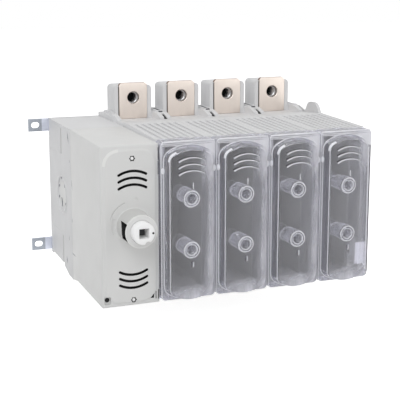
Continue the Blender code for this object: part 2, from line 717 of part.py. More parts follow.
def jaw_mesh():
    """Fuse link jaw: two sprung cheeks on a base plate, and a stem back to the moving contact."""
    base_front = CHAMBER_FLOOR_Y - CLEARANCE - JAW_BASE_THICKNESS
    plate = block((-JAW_WIDTH / 2, JAW_WIDTH / 2), (base_front, base_front + JAW_BASE_THICKNESS),
                  (JAW_BASE_BOTTOM, JAW_BASE_TOP))
    stem = block((-STEM_WIDTH / 2, STEM_WIDTH / 2), (base_front + JAW_BASE_THICKNESS / 2, TERMINAL_BACK_Y),
                 (JAW_BASE_BOTTOM, JAW_BASE_BOTTOM + STEM_HEIGHT))
    near = JAW_GAP / 2
    far = near + JAW_CHEEK_THICKNESS
    tip = base_front - JAW_CHEEK_DEPTH
    bend = tip + JAW_LIP_DEPTH
    root = base_front + JAW_BASE_THICKNESS / 2
    cheek = [(near, root), (near, bend), (near + JAW_LIP_FLARE, tip), (far + JAW_LIP_FLARE, tip), (far, bend),
             (far, root)]
    z_low = JAW_CHEEK_CENTRE - JAW_CHEEK_LENGTH / 2
    cheeks = [prism([(side * x, y) for x, y in cheek], z_low, z_low + JAW_CHEEK_LENGTH, "z")
              for side in (1, -1)]
    return shaped(plate, [stem] + cheeks)


def bridge_mesh():
    """Sliding contact that bridges the jaw's stem and the terminal."""
    outline = rounded(rectangle(-BRIDGE_WIDTH / 2, BRIDGE_WIDTH / 2, BRIDGE_BOTTOM, BRIDGE_TOP),
                      BRIDGE_CORNER, 2)
    return prism(outline, BRIDGE_FRONT_Y, BRIDGE_BACK_Y, "y")


def carriage_mesh():
    """Insulating carriage: one bar through every pole, with an upright arm in each."""
    bar_start = RACK_BACK_X + CLEARANCE
    bar_end = FIRST_POLE_X + (POLE_COUNT - 1) * POLE_PITCH + ARM_WIDTH / 2 + BAR_END_SPARE
    bar = block((bar_start, bar_end), (BAR_FRONT_Y, BAR_BACK_Y), (-BAR_HALF_HEIGHT, BAR_HALF_HEIGHT))
    arms = []
    for i in range(POLE_COUNT):
        x = FIRST_POLE_X + i * POLE_PITCH
        arms.append(block((x - ARM_WIDTH / 2, x + ARM_WIDTH / 2), (ARM_FRONT_Y, BAR_BACK_Y - CLEARANCE),
                          (-ARM_HALF_HEIGHT, ARM_HALF_HEIGHT)))
    return shaped(bar, arms)


def rack_mesh():
    """Rack on the carriage's end: straight-sided teeth on the side of the pinion."""
    pitch = pi * GEAR_MODULE
    tip_x = RACK_PITCH_X - TOOTH_TIP * GEAR_MODULE
    root_x = RACK_PITCH_X + TOOTH_ROOT * GEAR_MODULE
    slope = tan(radians(20))
    half_pitch_width = pitch / 4 - TOOTH_BACKLASH / 2
    half_tip = half_pitch_width - TOOTH_TIP * GEAR_MODULE * slope
    half_root = half_pitch_width + TOOTH_ROOT * GEAR_MODULE * slope
    first = round(-RACK_BOTTOM / pitch) + 1
    last = round(RACK_TOP / pitch) - 1
    outline = [(RACK_BACK_X, RACK_TOP), (RACK_BACK_X, -RACK_BOTTOM), (root_x, -RACK_BOTTOM)]
    for i in range(first, last + 1):
        z = SPINDLE_Z + i * pitch
        outline += [(root_x, z - half_root), (tip_x, z - half_tip)]
        outline += [(tip_x, z + half_tip), (root_x, z + half_root)]
    outline.append((root_x, RACK_TOP))
    return prism(outline, PINION_FRONT_Y, PINION_BACK_Y, "y")


def pinion_mesh():
    """Pinion on the spindle, with a tooth space towards the rack."""
    tip = PITCH_RADIUS + TOOTH_TIP * GEAR_MODULE
    root = PITCH_RADIUS - TOOTH_ROOT * GEAR_MODULE
    outline = []
    for i in range(PINION_TEETH):
        middle = (i + 0.5) * 2 * pi / PINION_TEETH
        flank = [(radius, TOOTH_HALF_SHARES[place] * 2 * pi / PINION_TEETH)
                 for radius, place in ((root, "root"), (PITCH_RADIUS, "pitch"), (tip, "tip"))]
        outline += [(radius, middle - turn) for radius, turn in flank]
        outline += [(radius, middle + turn) for radius, turn in reversed(flank)]
    points = [(radius * cos(angle), radius * sin(angle)) for radius, angle in outline]
    body = prism(points, PINION_FRONT_Y, PINION_BACK_Y, "y")
    bore = cylinder(JOURNAL_RADIUS + CLEARANCE, (0.0, 0.0), PINION_FRONT_Y - CUT, PINION_BACK_Y + CUT, "y", 20)
    return shaped(body, cut=[bore])


def spindle_mesh():
    """Operating spindle: a round boss with a square socket in front, a shaft and a rear journal."""
    boss_back = SPINDLE_Y + BOSS_LENGTH
    journal_front = PINION_FRONT_Y - CLEARANCE
    journal_end = -BEARING_FLOOR - CLEARANCE
    profile = [(0.0, SPINDLE_Y), (BOSS_RADIUS, SPINDLE_Y), (BOSS_RADIUS, boss_back), (SHAFT_RADIUS, boss_back),
               (SHAFT_RADIUS, journal_front), (JOURNAL_RADIUS, journal_front), (JOURNAL_RADIUS, journal_end),
               (0.0, journal_end)]
    half = SOCKET_WIDTH / 2
    socket = block((-half, half), (SPINDLE_Y - CUT, SPINDLE_Y + SOCKET_DEPTH), (-half, half))
    dot = cylinder(DOT_RADIUS, (DOT_OFFSET, 0.0), SPINDLE_Y - CUT, SPINDLE_Y + DOT_DEPTH, "y", 10)
    notch_angle = radians(NOTCH_ANGLE)
    notch = cylinder(NOTCH_RADIUS, (NOTCH_REACH * cos(notch_angle), NOTCH_REACH * sin(notch_angle)),
                     SPINDLE_Y - CUT, SPINDLE_Y + NOTCH_LENGTH, "y", 14)
    return shaped(turned(profile, (0.0, 0.0)), cut=[socket, dot, notch])


def spring_curve(finish):
    """Torsion spring wound on the spindle's shaft."""
    coil_radius = SHAFT_RADIUS + CLEARANCE + SPRING_WIRE_RADIUS
    steps = 14
    curve = bpy.data.curves.new("mechanism_spring", "CURVE")
    curve.dimensions = "3D"
    curve.bevel_depth = SPRING_WIRE_RADIUS
    curve.bevel_resolution = 1
    curve.use_fill_caps = True
    spline = curve.splines.new("POLY")
    count = SPRING_TURNS * steps
    spline.points.add(count)
    for i in range(count + 1):
        angle = 2 * pi * i / steps
        spline.points[i].co = (coil_radius * cos(angle), -SPRING_START - SPRING_PITCH * i / steps,
                               coil_radius * sin(angle), 1.0)
    curve.materials.append(finish)
    return curve


def mechanism_outline():
    """Side outline of the mechanism's base, with the bulge under its front."""
    return [
        (0.0, MECHANISM_REAR_TOP),
        (MECHANISM_FRONT_Y, MECHANISM_TOP),
        (MECHANISM_FRONT_Y, -MECHANISM_BULGE),
        (MECHANISM_FRONT_Y + BULGE_FLAT, -MECHANISM_BULGE),
        (MECHANISM_FRONT_Y + BULGE_SHOULDER, -MECHANISM_BULGE + BULGE_SHOULDER_RISE),
        (MECHANISM_FRONT_Y + BULGE_LENGTH, -MECHANISM_REAR_BOTTOM),
        (0.0, -MECHANISM_REAR_BOTTOM),
    ]


def mechanism_base_mesh():
    """Rear moulding of the mechanism, with bracket pockets and the side opening."""
    body = prism(mechanism_outline(), MECHANISM_LEFT, MECHANISM_RIGHT, "x")
    left = MECHANISM_LEFT + MECHANISM_WALL
    right = MECHANISM_RIGHT - MECHANISM_WALL
    pocket_x = MECHANISM_LEFT + POCKET_WIDTH
    floor_y = -MECHANISM_BACK_WALL
    inner_z = POCKET_INNER_Z - MECHANISM_WALL
    pocket_y = -POCKET_LENGTH
    join_y = pocket_y - MECHANISM_WALL - CUT
    roof = MECHANISM_REAR_TOP - MECHANISM_ROOF
    sides = (-SIDE_HOLE_Y, SPINDLE_Z)
    ring = cylinder(SIDE_RING_RADIUS, sides, MECHANISM_LEFT - SIDE_RING_RISE, MECHANISM_LEFT + CUT / 2, "x", 32)
    ring_inside = cylinder(SIDE_RING_RADIUS - SIDE_RING_WIDTH, sides, MECHANISM_LEFT - CUT,
                           MECHANISM_LEFT + SIDE_RING_RISE, "x", 32)
    on_axis = (SPINDLE_X, SPINDLE_Z)
    bearing = cylinder(BEARING_RADIUS, on_axis, floor_y - BEARING_LENGTH, floor_y + CUT / 2, "y", 20)
    cuts = [
        ring_inside,
        cylinder(SIDE_HOLE_RADIUS, sides, MECHANISM_LEFT - CUT, left + CUT, "x", 20),
        block((MECHANISM_LEFT - CUT, left + CUT), (sides[0] - SIDE_NOTCH_REACH, sides[0] + SIDE_NOTCH_REACH),
              (sides[1] - SIDE_NOTCH_WIDTH / 2, sides[1] + SIDE_NOTCH_WIDTH / 2)),
        block((MECHANISM_LEFT - CUT, left + CUT),
              (sides[0] - SIDE_NOTCH_WIDTH / 2, sides[0] + SIDE_NOTCH_WIDTH / 2),
              (sides[1] - SIDE_NOTCH_REACH, sides[1] + SIDE_NOTCH_REACH)),
        block((right - CUT, MECHANISM_RIGHT + CUT), (BAR_FRONT_Y - CLEARANCE, BAR_BACK_Y + CLEARANCE),
              (-BAR_HALF_HEIGHT - CLEARANCE, BAR_HALF_HEIGHT + TRAVEL + CLEARANCE)),
        cylinder(JOURNAL_RADIUS + CLEARANCE, on_axis, floor_y - BEARING_LENGTH - CUT, -BEARING_FLOOR,
                 "y", 20),
    ]
    for z in (TIE_ROD_Z, -TIE_ROD_Z):
        cuts.append(cylinder(TIE_ROD_RADIUS + CLEARANCE, (TIE_ROD_Y, z),
                             right - CUT, MECHANISM_RIGHT + CUT, "x", 12))
    pockets = {1: roof, -1: MECHANISM_BULGE + CUT}
    for sign, pocket_end in pockets.items():
        cuts.append(block((MECHANISM_LEFT - CUT, pocket_x), (pocket_y, floor_y),
                          z_band(sign, POCKET_INNER_Z, pocket_end)))
        cuts.append(block((MECHANISM_LEFT - CUT, MECHANISM_LEFT + BRACKET_SEAT + CLEARANCE),
                          (-BRACKET_THICKNESS - CLEARANCE, CUT),
                          z_band(sign, BRACKET_Z - BRACKET_WIDTH / 2 - CLEARANCE,
                                 BRACKET_Z + BRACKET_WIDTH / 2 + CLEARANCE)))
    cavities = [
        block((left, right), (MECHANISM_FRONT_Y - CUT, pocket_y - MECHANISM_WALL),
              (-MECHANISM_REAR_BOTTOM + MECHANISM_ROOF, roof)),
        block((left, right), (join_y, floor_y), (-inner_z, inner_z)),
        block((pocket_x + MECHANISM_WALL, right), (join_y, floor_y),
              (-MECHANISM_REAR_BOTTOM + MECHANISM_ROOF, roof)),
    ]
    hollow = shaped(body, cut=cavities)
    return shaped(hollow, [ring, bearing], cuts)


def mechanism_cover_mesh():
    """Front moulding of the mechanism: a deep box with a raised panel, collar and arched vents."""
    left = MECHANISM_LEFT
    right = MECHANISM_COVER_RIGHT
    wall = MECHANISM_COVER_WALL
    outline = [
        (COVER_BOX_BACK_Y, MECHANISM_TOP),
        (COVER_BOX_FRONT_Y, MECHANISM_TOP),
        (COVER_BOX_FRONT_Y, -MECHANISM_COVER_BOTTOM),
        (COVER_BOX_BACK_Y - MECHANISM_COVER_TAPER, -MECHANISM_COVER_BOTTOM - MECHANISM_COVER_TAPER_RISE),
        (COVER_BOX_BACK_Y, -MECHANISM_BULGE),
    ]
    body = prism(outline, left, right, "x")
    inside = block((left + wall, right - wall), (COVER_BOX_FRONT_Y + wall, COVER_BOX_BACK_Y + CUT),
                   (-MECHANISM_COVER_BOTTOM + wall, MECHANISM_TOP - wall))
    box = shaped(body, cut=[inside])
    panel_outline = rounded(rectangle(left + PANEL_MARGIN, right - PANEL_MARGIN, -PANEL_BOTTOM, PANEL_TOP),
                            PANEL_CORNER, 5)
    collar = cylinder(COLLAR_RADIUS, (SPINDLE_X, SPINDLE_Z), COLLAR_Y, COVER_BOX_FRONT_Y + wall / 2, "y", 32)
    joined = [prism(panel_outline, PANEL_Y, COVER_BOX_FRONT_Y + wall / 2, "y"), collar]
    cuts = [cylinder(BOSS_RADIUS + CLEARANCE, (SPINDLE_X, SPINDLE_Z), COLLAR_Y - CUT,
                     COVER_BOX_FRONT_Y + wall + CUT, "y", 32)]
    slot_front = COLLAR_Y + COLLAR_SLOT_FRONT
    cuts.append(block((SPINDLE_X - COLLAR_RADIUS - CUT, SPINDLE_X - BOSS_RADIUS),
                      (slot_front, slot_front + COLLAR_SLOT_LENGTH),
                      (SPINDLE_Z - COLLAR_SLOT_HALF_HEIGHT, SPINDLE_Z + COLLAR_SLOT_HALF_HEIGHT)))
    for i in range(VENT_COUNT):
        down = i * VENT_PITCH
        for apex, direction in ((UPPER_VENT_TOP - down, 1), (-LOWER_VENT_TOP - down, -1)):
            cuts.append(prism(arch_slot(SPINDLE_X, apex, direction),
                              PANEL_Y - CUT, COVER_BOX_FRONT_Y + wall + CUT, "y"))
    for z in (SCREW_UPPER_Z, SCREW_LOWER_Z):
        post_end = PANEL_Y + SCREW_HEAD_HEIGHT + SCREW_LENGTH
        joined.append(cylinder(SCREW_POST_RADIUS, (SPINDLE_X, z),
                               COVER_BOX_FRONT_Y + wall / 2, post_end, "y", 16))
        cuts.append(cylinder(SCREW_HEAD_RADIUS + CLEARANCE, (SPINDLE_X, z), PANEL_Y - CUT,
                             PANEL_Y + SCREW_HEAD_HEIGHT + CLEARANCE, "y", 18))
        cuts.append(cylinder(SCREW_SHANK_RADIUS + CLEARANCE, (SPINDLE_X, z),
                             PANEL_Y - CUT, post_end + CUT, "y", 12))
    return shaped(box, joined, cuts)


def screw_mesh():
    """Cover screw with a low round head and a six-sided socket."""
    profile = [(0.0, PANEL_Y), (SCREW_HEAD_RADIUS, PANEL_Y), (SCREW_HEAD_RADIUS, PANEL_Y + SCREW_HEAD_HEIGHT),
               (SCREW_SHANK_RADIUS, PANEL_Y + SCREW_HEAD_HEIGHT),
               (SCREW_SHANK_RADIUS, PANEL_Y + SCREW_LENGTH), (0.0, PANEL_Y + SCREW_LENGTH)]
    socket = cylinder(SCREW_SOCKET, (0.0, 0.0), PANEL_Y - CUT, PANEL_Y + SCREW_HEAD_HEIGHT * 2 / 3, "y", 6)
    return shaped(turned(profile, (0.0, 0.0), 18), cut=[socket])


def end_wall_mesh():
    """Thin wall that closes the last pole, with an upright ear on its top edge."""
    outline = mirrored(base_profile() + [
        (CHAMBER_BACK_Y, BASE_RIM_HALF_HEIGHT),
        (CHAMBER_BACK_Y - CHAMBER_CREST_LENGTH, CHAMBER_CREST_HALF_HEIGHT),
        (CHAMBER_FRONT_Y, CHAMBER_FRONT_HALF_HEIGHT),
    ])
    wall = prism(outline, END_WALL_X, END_WALL_OUTER_X, "x")
    ear_foot = BASE_RIM_HALF_HEIGHT - EAR_ROOT
    ear_top = BASE_RIM_HALF_HEIGHT + EAR_RISE
    ear_outline = [(-EAR_BASE_BACK, ear_foot), (-EAR_BASE_BACK, BASE_RIM_HALF_HEIGHT),
                   (-EAR_TOP_BACK, ear_top), (-EAR_TOP_FRONT, ear_top),
                   (-EAR_BASE_FRONT, BASE_RIM_HALF_HEIGHT), (-EAR_BASE_FRONT, ear_foot)]
    ear = prism(ear_outline, END_WALL_X, END_WALL_OUTER_X + END_WALL_THICKNESS, "x")
    holes = [cylinder(TIE_ROD_RADIUS + CLEARANCE, (TIE_ROD_Y, z),
                      END_WALL_X - CUT, END_WALL_OUTER_X + CUT, "x", 12)
             for z in (TIE_ROD_Z, -TIE_ROD_Z)]
    return shaped(wall, [ear], holes)


def tie_rod_mesh():
    """Rod with a six-sided head and nut that clamps the row together."""
    head_inner = MECHANISM_RIGHT - MECHANISM_WALL - CLEARANCE
    nut_inner = END_WALL_OUTER_X + CLEARANCE
    centre = (TIE_ROD_Y, 0.0)
    rod = cylinder(TIE_ROD_RADIUS, centre, head_inner - TIE_HEAD_LENGTH / 2,
                   nut_inner + TIE_HEAD_LENGTH / 2, "x", 12)
    ends = [cylinder(TIE_HEAD_RADIUS, centre, head_inner - TIE_HEAD_LENGTH, head_inner, "x", 6),
            cylinder(TIE_HEAD_RADIUS, centre, nut_inner, nut_inner + TIE_HEAD_LENGTH, "x", 6)]
    return shaped(rod, ends)


def bracket_slot(centre_x, z):
    outline = obround(BRACKET_SLOT_LENGTH, BRACKET_SLOT_WIDTH, (centre_x, z))
    return prism(outline, -BRACKET_THICKNESS - CUT, CUT, "y")


def left_bracket_mesh():
    """Flat mounting strap let into the mechanism's back."""
    foot_end = MECHANISM_LEFT - BRACKET_REACH
    outline = rounded(rectangle(foot_end, MECHANISM_LEFT + BRACKET_SEAT, -BRACKET_WIDTH / 2, BRACKET_WIDTH / 2),
                      BRACKET_CORNER)
    strap = prism(outline, -BRACKET_THICKNESS, 0.0, "y")
    return shaped(strap, cut=[bracket_slot(foot_end + BRACKET_SLOT_INSET, 0.0)])


def right_bracket_mesh():
    """Folded mounting bracket on the end wall."""
    inner = END_WALL_OUTER_X + CLEARANCE
    foot_end = inner + BRACKET_THICKNESS + BRACKET_REACH
    web = inner + BRACKET_THICKNESS
    outline = [(inner, -BRACKET_WEB_LENGTH), (inner, 0.0), (foot_end, 0.0), (foot_end, -BRACKET_THICKNESS),
               (web, -BRACKET_THICKNESS), (web, -BRACKET_WEB_LENGTH)]
    angle = prism(outline, -BRACKET_WIDTH / 2, BRACKET_WIDTH / 2, "z")
    return shaped(angle, cut=[bracket_slot(foot_end - BRACKET_SLOT_INSET, 0.0)])


def build_mechanism(finishes):
    """The operating module on the left: mouldings, spindle, pinion, spring and screws."""
    light = finishes["moulding"]
    place("mechanism_base", mechanism_base_mesh(), light)
    place("mechanism_cover", mechanism_cover_mesh(), finishes["front"])
    screw = screw_mesh()
    place("cover_screw_upper", screw, finishes["zinc"], (SPINDLE_X, 0.0, SCREW_UPPER_Z))
    place("cover_screw_lower", screw, finishes["zinc"], (SPINDLE_X, 0.0, SCREW_LOWER_Z))
    axis = pivot("spindle_axis", (SPINDLE_X, 0.0, SPINDLE_Z))
    on_axis = (SPINDLE_X, 0.0, SPINDLE_Z)
    place("drive_spindle", spindle_mesh(), finishes["white"], on_axis, parent=axis)
    place("drive_pinion", pinion_mesh(), finishes["steel"], on_axis, parent=axis)
    spring = bpy.data.objects.new("mechanism_spring", spring_curve(finishes["steel"]))
    bpy.context.collection.objects.link(spring)
    spring.parent = axis


def build_poles(finishes):
    """Mouldings, terminals, jaws and covers of every pole, and the parts that slide."""
    base = pole_base_mesh()
    chamber = chamber_mesh()
    cover = cover_mesh()
    terminal = terminal_mesh()
    jaw = jaw_mesh()
    bridge = bridge_mesh()
    slide = pivot("carriage_slide", (0.0, 0.0, 0.0))
    place("contact_carriage", carriage_mesh(), finishes["insulator"], parent=slide)
    place("drive_rack", rack_mesh(), finishes["steel"], parent=slide)
    for i in range(POLE_COUNT):
        x = FIRST_POLE_X + i * POLE_PITCH
        number = i + 1
        place(f"pole_base_{number}", base, finishes["moulding"], (x, 0.0, 0.0))
        place(f"fuse_chamber_{number}", chamber, finishes["moulding"], (x, 0.0, 0.0))
        hinge = pivot(f"cover_hinge_{number}", (x, HINGE_Y, HINGE_Z))
        place(f"fuse_cover_{number}", cover, finishes["clear"], (x, 0.0, 0.0), parent=hinge)
        for side, turn in (("upper", 0.0), ("lower", pi)):
            place(f"terminal_{side}_{number}", terminal, finishes["tin"], (x, 0.0, 0.0), turn)
            place(f"fuse_jaw_{side}_{number}", jaw, finishes["tin"], (x, 0.0, 0.0), turn)
            place(f"contact_bridge_{side}_{number}", bridge, finishes["copper"], (x, 0.0, 0.0), turn, slide)


def build_frame(finishes):
    """End wall, tie rods, hinge rod and mounting brackets."""
    place("end_wall", end_wall_mesh(), finishes["moulding"])
    rod = tie_rod_mesh()
    place("tie_rod_upper", rod, finishes["zinc"], (0.0, 0.0, TIE_ROD_Z))
    place("tie_rod_lower", rod, finishes["zinc"], (0.0, 0.0, -TIE_ROD_Z))
    hinge = cylinder(HINGE_ROD_RADIUS, (HINGE_Y, HINGE_Z),
                     ROW_LEFT + MODULE_GAP, ROW_RIGHT - MODULE_GAP, "x", 12)
    place("cover_hinge_rod", hinge, finishes["zinc"])
    left = left_bracket_mesh()
    right = right_bracket_mesh()
    for side, z in (("upper", BRACKET_Z), ("lower", -BRACKET_Z)):
        place(f"bracket_left_{side}", left, finishes["zinc"], (0.0, 0.0, z))
        place(f"bracket_right_{side}", right, finishes["zinc"], (0.0, 0.0, z))


def main():
    clear_scene()
    finishes = {
        "moulding": material("Grey moulding", (0.62, 0.62, 0.63), 0.55),
        "front": material("Warm grey front", (0.63, 0.63, 0.60), 0.5),
        "white": material("White plastic", (0.88, 0.88, 0.88), 0.4),
        "insulator": material("Dark insulator", (0.12, 0.12, 0.13), 0.5),
        "clear": material("Clear polycarbonate", (0.90, 0.90, 0.93), 0.08, alpha=0.35, transmission=0.9),
        "tin": material("Tinned copper", (0.80, 0.74, 0.68), 0.28, metallic=1.0),
        "copper": material("Copper", (0.80, 0.46, 0.32), 0.3, metallic=1.0),
        "steel": material("Steel", (0.55, 0.56, 0.58), 0.35, metallic=1.0),
        "zinc": material("Zinc-plated steel", (0.68, 0.71, 0.75), 0.32, metallic=1.0),
    }
    build_mechanism(finishes)
    build_poles(finishes)
    build_frame(finishes)


main()
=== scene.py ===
"""Looks of the fuse switch disconnector: finishes, edges, threads and the clear covers."""

import json
from math import asin, atan2, cos, degrees, pi, radians, sin, tan

import bmesh
import bpy
from mathutils import Matrix, Vector


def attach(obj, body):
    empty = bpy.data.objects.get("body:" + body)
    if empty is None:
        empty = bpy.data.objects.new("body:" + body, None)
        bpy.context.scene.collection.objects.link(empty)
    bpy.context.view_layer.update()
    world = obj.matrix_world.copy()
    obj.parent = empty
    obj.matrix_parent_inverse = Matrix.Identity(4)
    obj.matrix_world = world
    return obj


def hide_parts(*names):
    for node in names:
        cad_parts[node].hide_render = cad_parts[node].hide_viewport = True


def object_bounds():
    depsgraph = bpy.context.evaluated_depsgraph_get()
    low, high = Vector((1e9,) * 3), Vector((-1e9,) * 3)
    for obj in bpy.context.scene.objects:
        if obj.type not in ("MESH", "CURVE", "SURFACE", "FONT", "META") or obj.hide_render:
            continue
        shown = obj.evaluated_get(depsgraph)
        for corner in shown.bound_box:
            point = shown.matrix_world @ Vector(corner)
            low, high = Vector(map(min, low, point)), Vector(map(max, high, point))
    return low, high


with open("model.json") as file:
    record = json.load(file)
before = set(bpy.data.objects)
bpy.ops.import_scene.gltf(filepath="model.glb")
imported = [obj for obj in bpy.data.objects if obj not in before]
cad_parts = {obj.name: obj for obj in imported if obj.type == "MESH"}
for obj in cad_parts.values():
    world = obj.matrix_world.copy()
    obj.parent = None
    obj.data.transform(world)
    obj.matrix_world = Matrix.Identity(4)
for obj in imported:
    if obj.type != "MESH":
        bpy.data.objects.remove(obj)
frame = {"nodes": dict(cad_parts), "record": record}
cad_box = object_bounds()

SLOT_OF = {part["node"]: part["material_slot"] for part in frame["record"]["subparts"]}

# General fits, as in the solids
CUT = 0.003
CLEARANCE = 0.0003

# Doubled points nearer than this are joined, edges sharper than this are rounded, flatter areas joined
WELD = 0.000004
SHARP_ANGLE = radians(30.0)
FLAT_ANGLE = radians(0.5)

# Row of poles and mechanism, as in the solids
POLE_COUNT = 4
POLES = range(1, POLE_COUNT + 1)
POLE_PITCH = 0.060
FIRST_POLE_X = -0.060
SPINDLE_X = -0.1185
SPINDLE_Z = 0.0005
PANEL_Y = -0.2290

# Material slots of the clear covers; edge and white are whitish finishes painted as highlights, dark is
# painted shade
CLEAR = 0
EDGE = 1
HAZE = 2
TUBE = 3
DARK = 4
WHITE = 5

# Clear fuse covers, as in the solids but with finer arcs and rounded edges
COVER_WALL = 0.0018
COVER_SIDE_GAP = 0.0003
COVER_TOP = 0.0838
COVER_BOTTOM = 0.0822
COVER_CORNER = 0.005
COVER_EDGE = 0.0009
COVER_BACK_Y = -0.2153
FLANGE_Y = -0.2320
WINDOW_Y = -0.2414
WINDOW_WIDTH = 0.046
WINDOW_DRAFT = 0.0035
WINDOW_SHOULDER = 0.68
WINDOW_TOP = 0.0760
WINDOW_BOTTOM = 0.0803
WINDOW_ARCH_RADIUS = 0.039
WINDOW_CORNER = 0.008
# Painted edge highlight: where it gives way to haze along the arch, and the corner that is painted white
ARCH_HAZE_X = 0.0150
HIGHLIGHT_X = (-0.0252, -0.0160)
HIGHLIGHT_Z = 0.0610
PROBE_UPPER_Z = 0.0253
PROBE_LOWER_Z = 0.028
PROBE_OUTER_RADIUS = 0.0092
PROBE_BORE_RADIUS = 0.0051
PROBE_TUBE_LENGTH = 0.024
PROBE_DRAFT = 0.0014
PROBE_BORE_DRAFT = 0.0009
PROBE_EDGE = 0.0005
PROBE_LIP = 0.0004
PROBE_INNER_RING = 0.0011
PROBE_OUTER_RING = 0.0017
PROBE_STEP = 0.0002
PROBE_FOOT = 0.0007
PROBE_FOOT_LENGTH = 0.0018
LATCH_WIDTH = 0.011
LATCH_LENGTH = 0.0038
LATCH_THICKNESS = 0.0016
HINGE_Y = -0.2183
HINGE_Z = -0.0825
HINGE_KNUCKLE_RADIUS = 0.0028
HINGE_BORE_RADIUS = 0.0016
HINGE_HALF_LENGTH = 0.014
HINGE_RELIEF = 0.0034

# Raised marks on the covers, painted bright as highlights, and a painted shadow stroke by the lower rib mark
BAND_MARGIN = 0.0015
BAND_RISE = 0.0001
FLANGE_BANDS = ((0.0820, 0.0834), (0.0803, 0.0815))
SWEPT_BAND_TOP = 0.0798
SWEPT_BAND_ENDS = (0.0790, 0.0660)
SWEPT_BAND = ((-0.0130, 0.0785), (0.0, 0.0768), (0.0150, 0.0735))
RIB_MARKS = ((0.0355, 0.0418), (-0.0462, -0.0405))
RIB_MARK_X = 0.0015
RIB_MARK_HALF_WIDTH = 0.0005
RIB_MARK_RISE = 0.0003
RIB_SHADE_SHIFT = 0.0016
PIN_Z = 0.054
PIN_X = 0.0277
PIN_RADIUS = 0.0016
PIN_RISE = 0.0014

# Arched slots of the covers and vents of the mechanism; each cover slot has a painted highlight ledge and a
# slit in painted shade
VENT_COUNT = 3
ARCH_SLOT_HALF_CHORD = 0.0147
ARCH_SLOT_SAGITTA = 0.0038
ARCH_SLOT_WIDTH = 0.0019
ARCH_RADIUS = (ARCH_SLOT_HALF_CHORD ** 2 + ARCH_SLOT_SAGITTA ** 2) / (2 * ARCH_SLOT_SAGITTA)
ARCH_ANGLE = degrees(asin(ARCH_SLOT_HALF_CHORD / ARCH_RADIUS))
ARCH_MIDDLE = ARCH_RADIUS - ARCH_SLOT_WIDTH / 2
COVER_SLOT_TOP = 0.068
COVER_SLOT_PITCH = 0.0067
LEDGE_SHIFT = 0.0001
LEDGE_WIDTHS = (0.0017, 0.0006)
LEDGE_RISE = 0.0002
SLIT_SHIFT = 0.0007
SLIT_WIDTH = 0.0009
VENT_WIDTH = 0.0026
UPPER_VENT_TOP = 0.0559
LOWER_VENT_TOP = 0.0509
VENT_PITCH = 0.0069

# Last cover: finish, insets from its right edge, depths behind its flange, and heights of each plate; the
# plates are painted light and shade
LAST_COVER_SPARE = 0.0023
LAST_COVER_PLATES = {
    "plate": ("end_plate", (0.0025, 0.0019), (0.0020, 0.0165), (-0.0420, 0.0540)),
    "block_side": ("end_block", (0.0025, 0.0019), (0.0020, 0.0165), (-0.0660, -0.0421)),
    "top_side": ("end_block", (0.0025, 0.0019), (0.0020, 0.0165), (0.0541, 0.0740)),
    "block": ("end_block", (0.0165, 0.0026), (0.0019, 0.0023), (-0.0660, -0.0420)),
    "rim": ("cover_dark", (0.0013, 0.0004), (-0.0001, 0.0012), (-0.0760, 0.0660)),
    "line": ("cover_white", (0.0034, 0.0024), (-0.0002, 0.0005), (-0.0740, 0.0640)),
}

# Whitish patches painted on the covers as painted light: centre (x, z), reach (x, z) and strength
LIT_PATCHES = (
    ((0.0215, 0.061), (0.012, 0.027), 0.9), ((0.003, -0.079), (0.036, 0.015), 0.85),
    ((0.0245, 0.0), (0.0085, 0.110), 0.75), ((0.0225, -0.050), (0.010, 0.045), 0.45),
    ((0.029, 0.076), (0.008, 0.016), 0.9), ((-0.029, 0.074), (0.004, 0.016), 0.8),
    ((-0.0275, -0.010), (0.0045, 0.110), 0.2),
)
LAST_LIT_PATCHES = LIT_PATCHES[:2] + LIT_PATCHES[4:]
LIT_PATCH_COLOUR = (0.72, 0.72, 0.78, 1.0)

# Fuse chambers, as in the solids
CHAMBER_INNER_X = 0.0271
CHAMBER_INNER_Z = 0.0796

# Material slots of the mechanism front: black paints shade in the collar opening, vents, slits and a notch,
# light is a painted highlight, shade painted shade
BLACK = 1
LIGHT = 2
SHADE = 3

# Mechanism front, as in the solids but with rounded edges
MECHANISM_LEFT = -0.1515
MECHANISM_COVER_RIGHT = -0.0902
MECHANISM_TOP = 0.082
MECHANISM_COVER_BOTTOM = 0.0838
MECHANISM_COVER_WALL = 0.0025
MECHANISM_BULGE = 0.0888
MECHANISM_COVER_TAPER = 0.018
MECHANISM_COVER_TAPER_RISE = 0.0016
COVER_BOX_BACK_Y = -0.1073
COVER_BOX_FRONT_Y = -0.2278
BOX_EDGE = 0.0016
PANEL_MARGIN = 0.0027
PANEL_TOP = 0.078
PANEL_BOTTOM = 0.0812
PANEL_CORNER = 0.016
PANEL_DRAFT = 0.0020
PANEL_SEAT = 0.0004
PANEL_EASE = 0.0006
# Reach of the painted highlight on the panel's upper left corner
LIT_CORNER = (0.020, 0.018)
COLLAR_RADIUS = 0.0174
COLLAR_FOOT = 0.0008
COLLAR_Y = -0.2570
COLLAR_EDGE = 0.0016
COLLAR_DRAFT = 0.0006
# Opening in the collar's left side, painted black inside as shade
COLLAR_OPENING = (
    (-0.2566, 0.0088), (-0.2385, 0.0088), (-0.2432, 0.0058), (-0.2462, 0.002),
    (-0.2462, -0.002), (-0.2446, -0.0055), (-0.2415, -0.0086), (-0.2566, -0.0086),
)

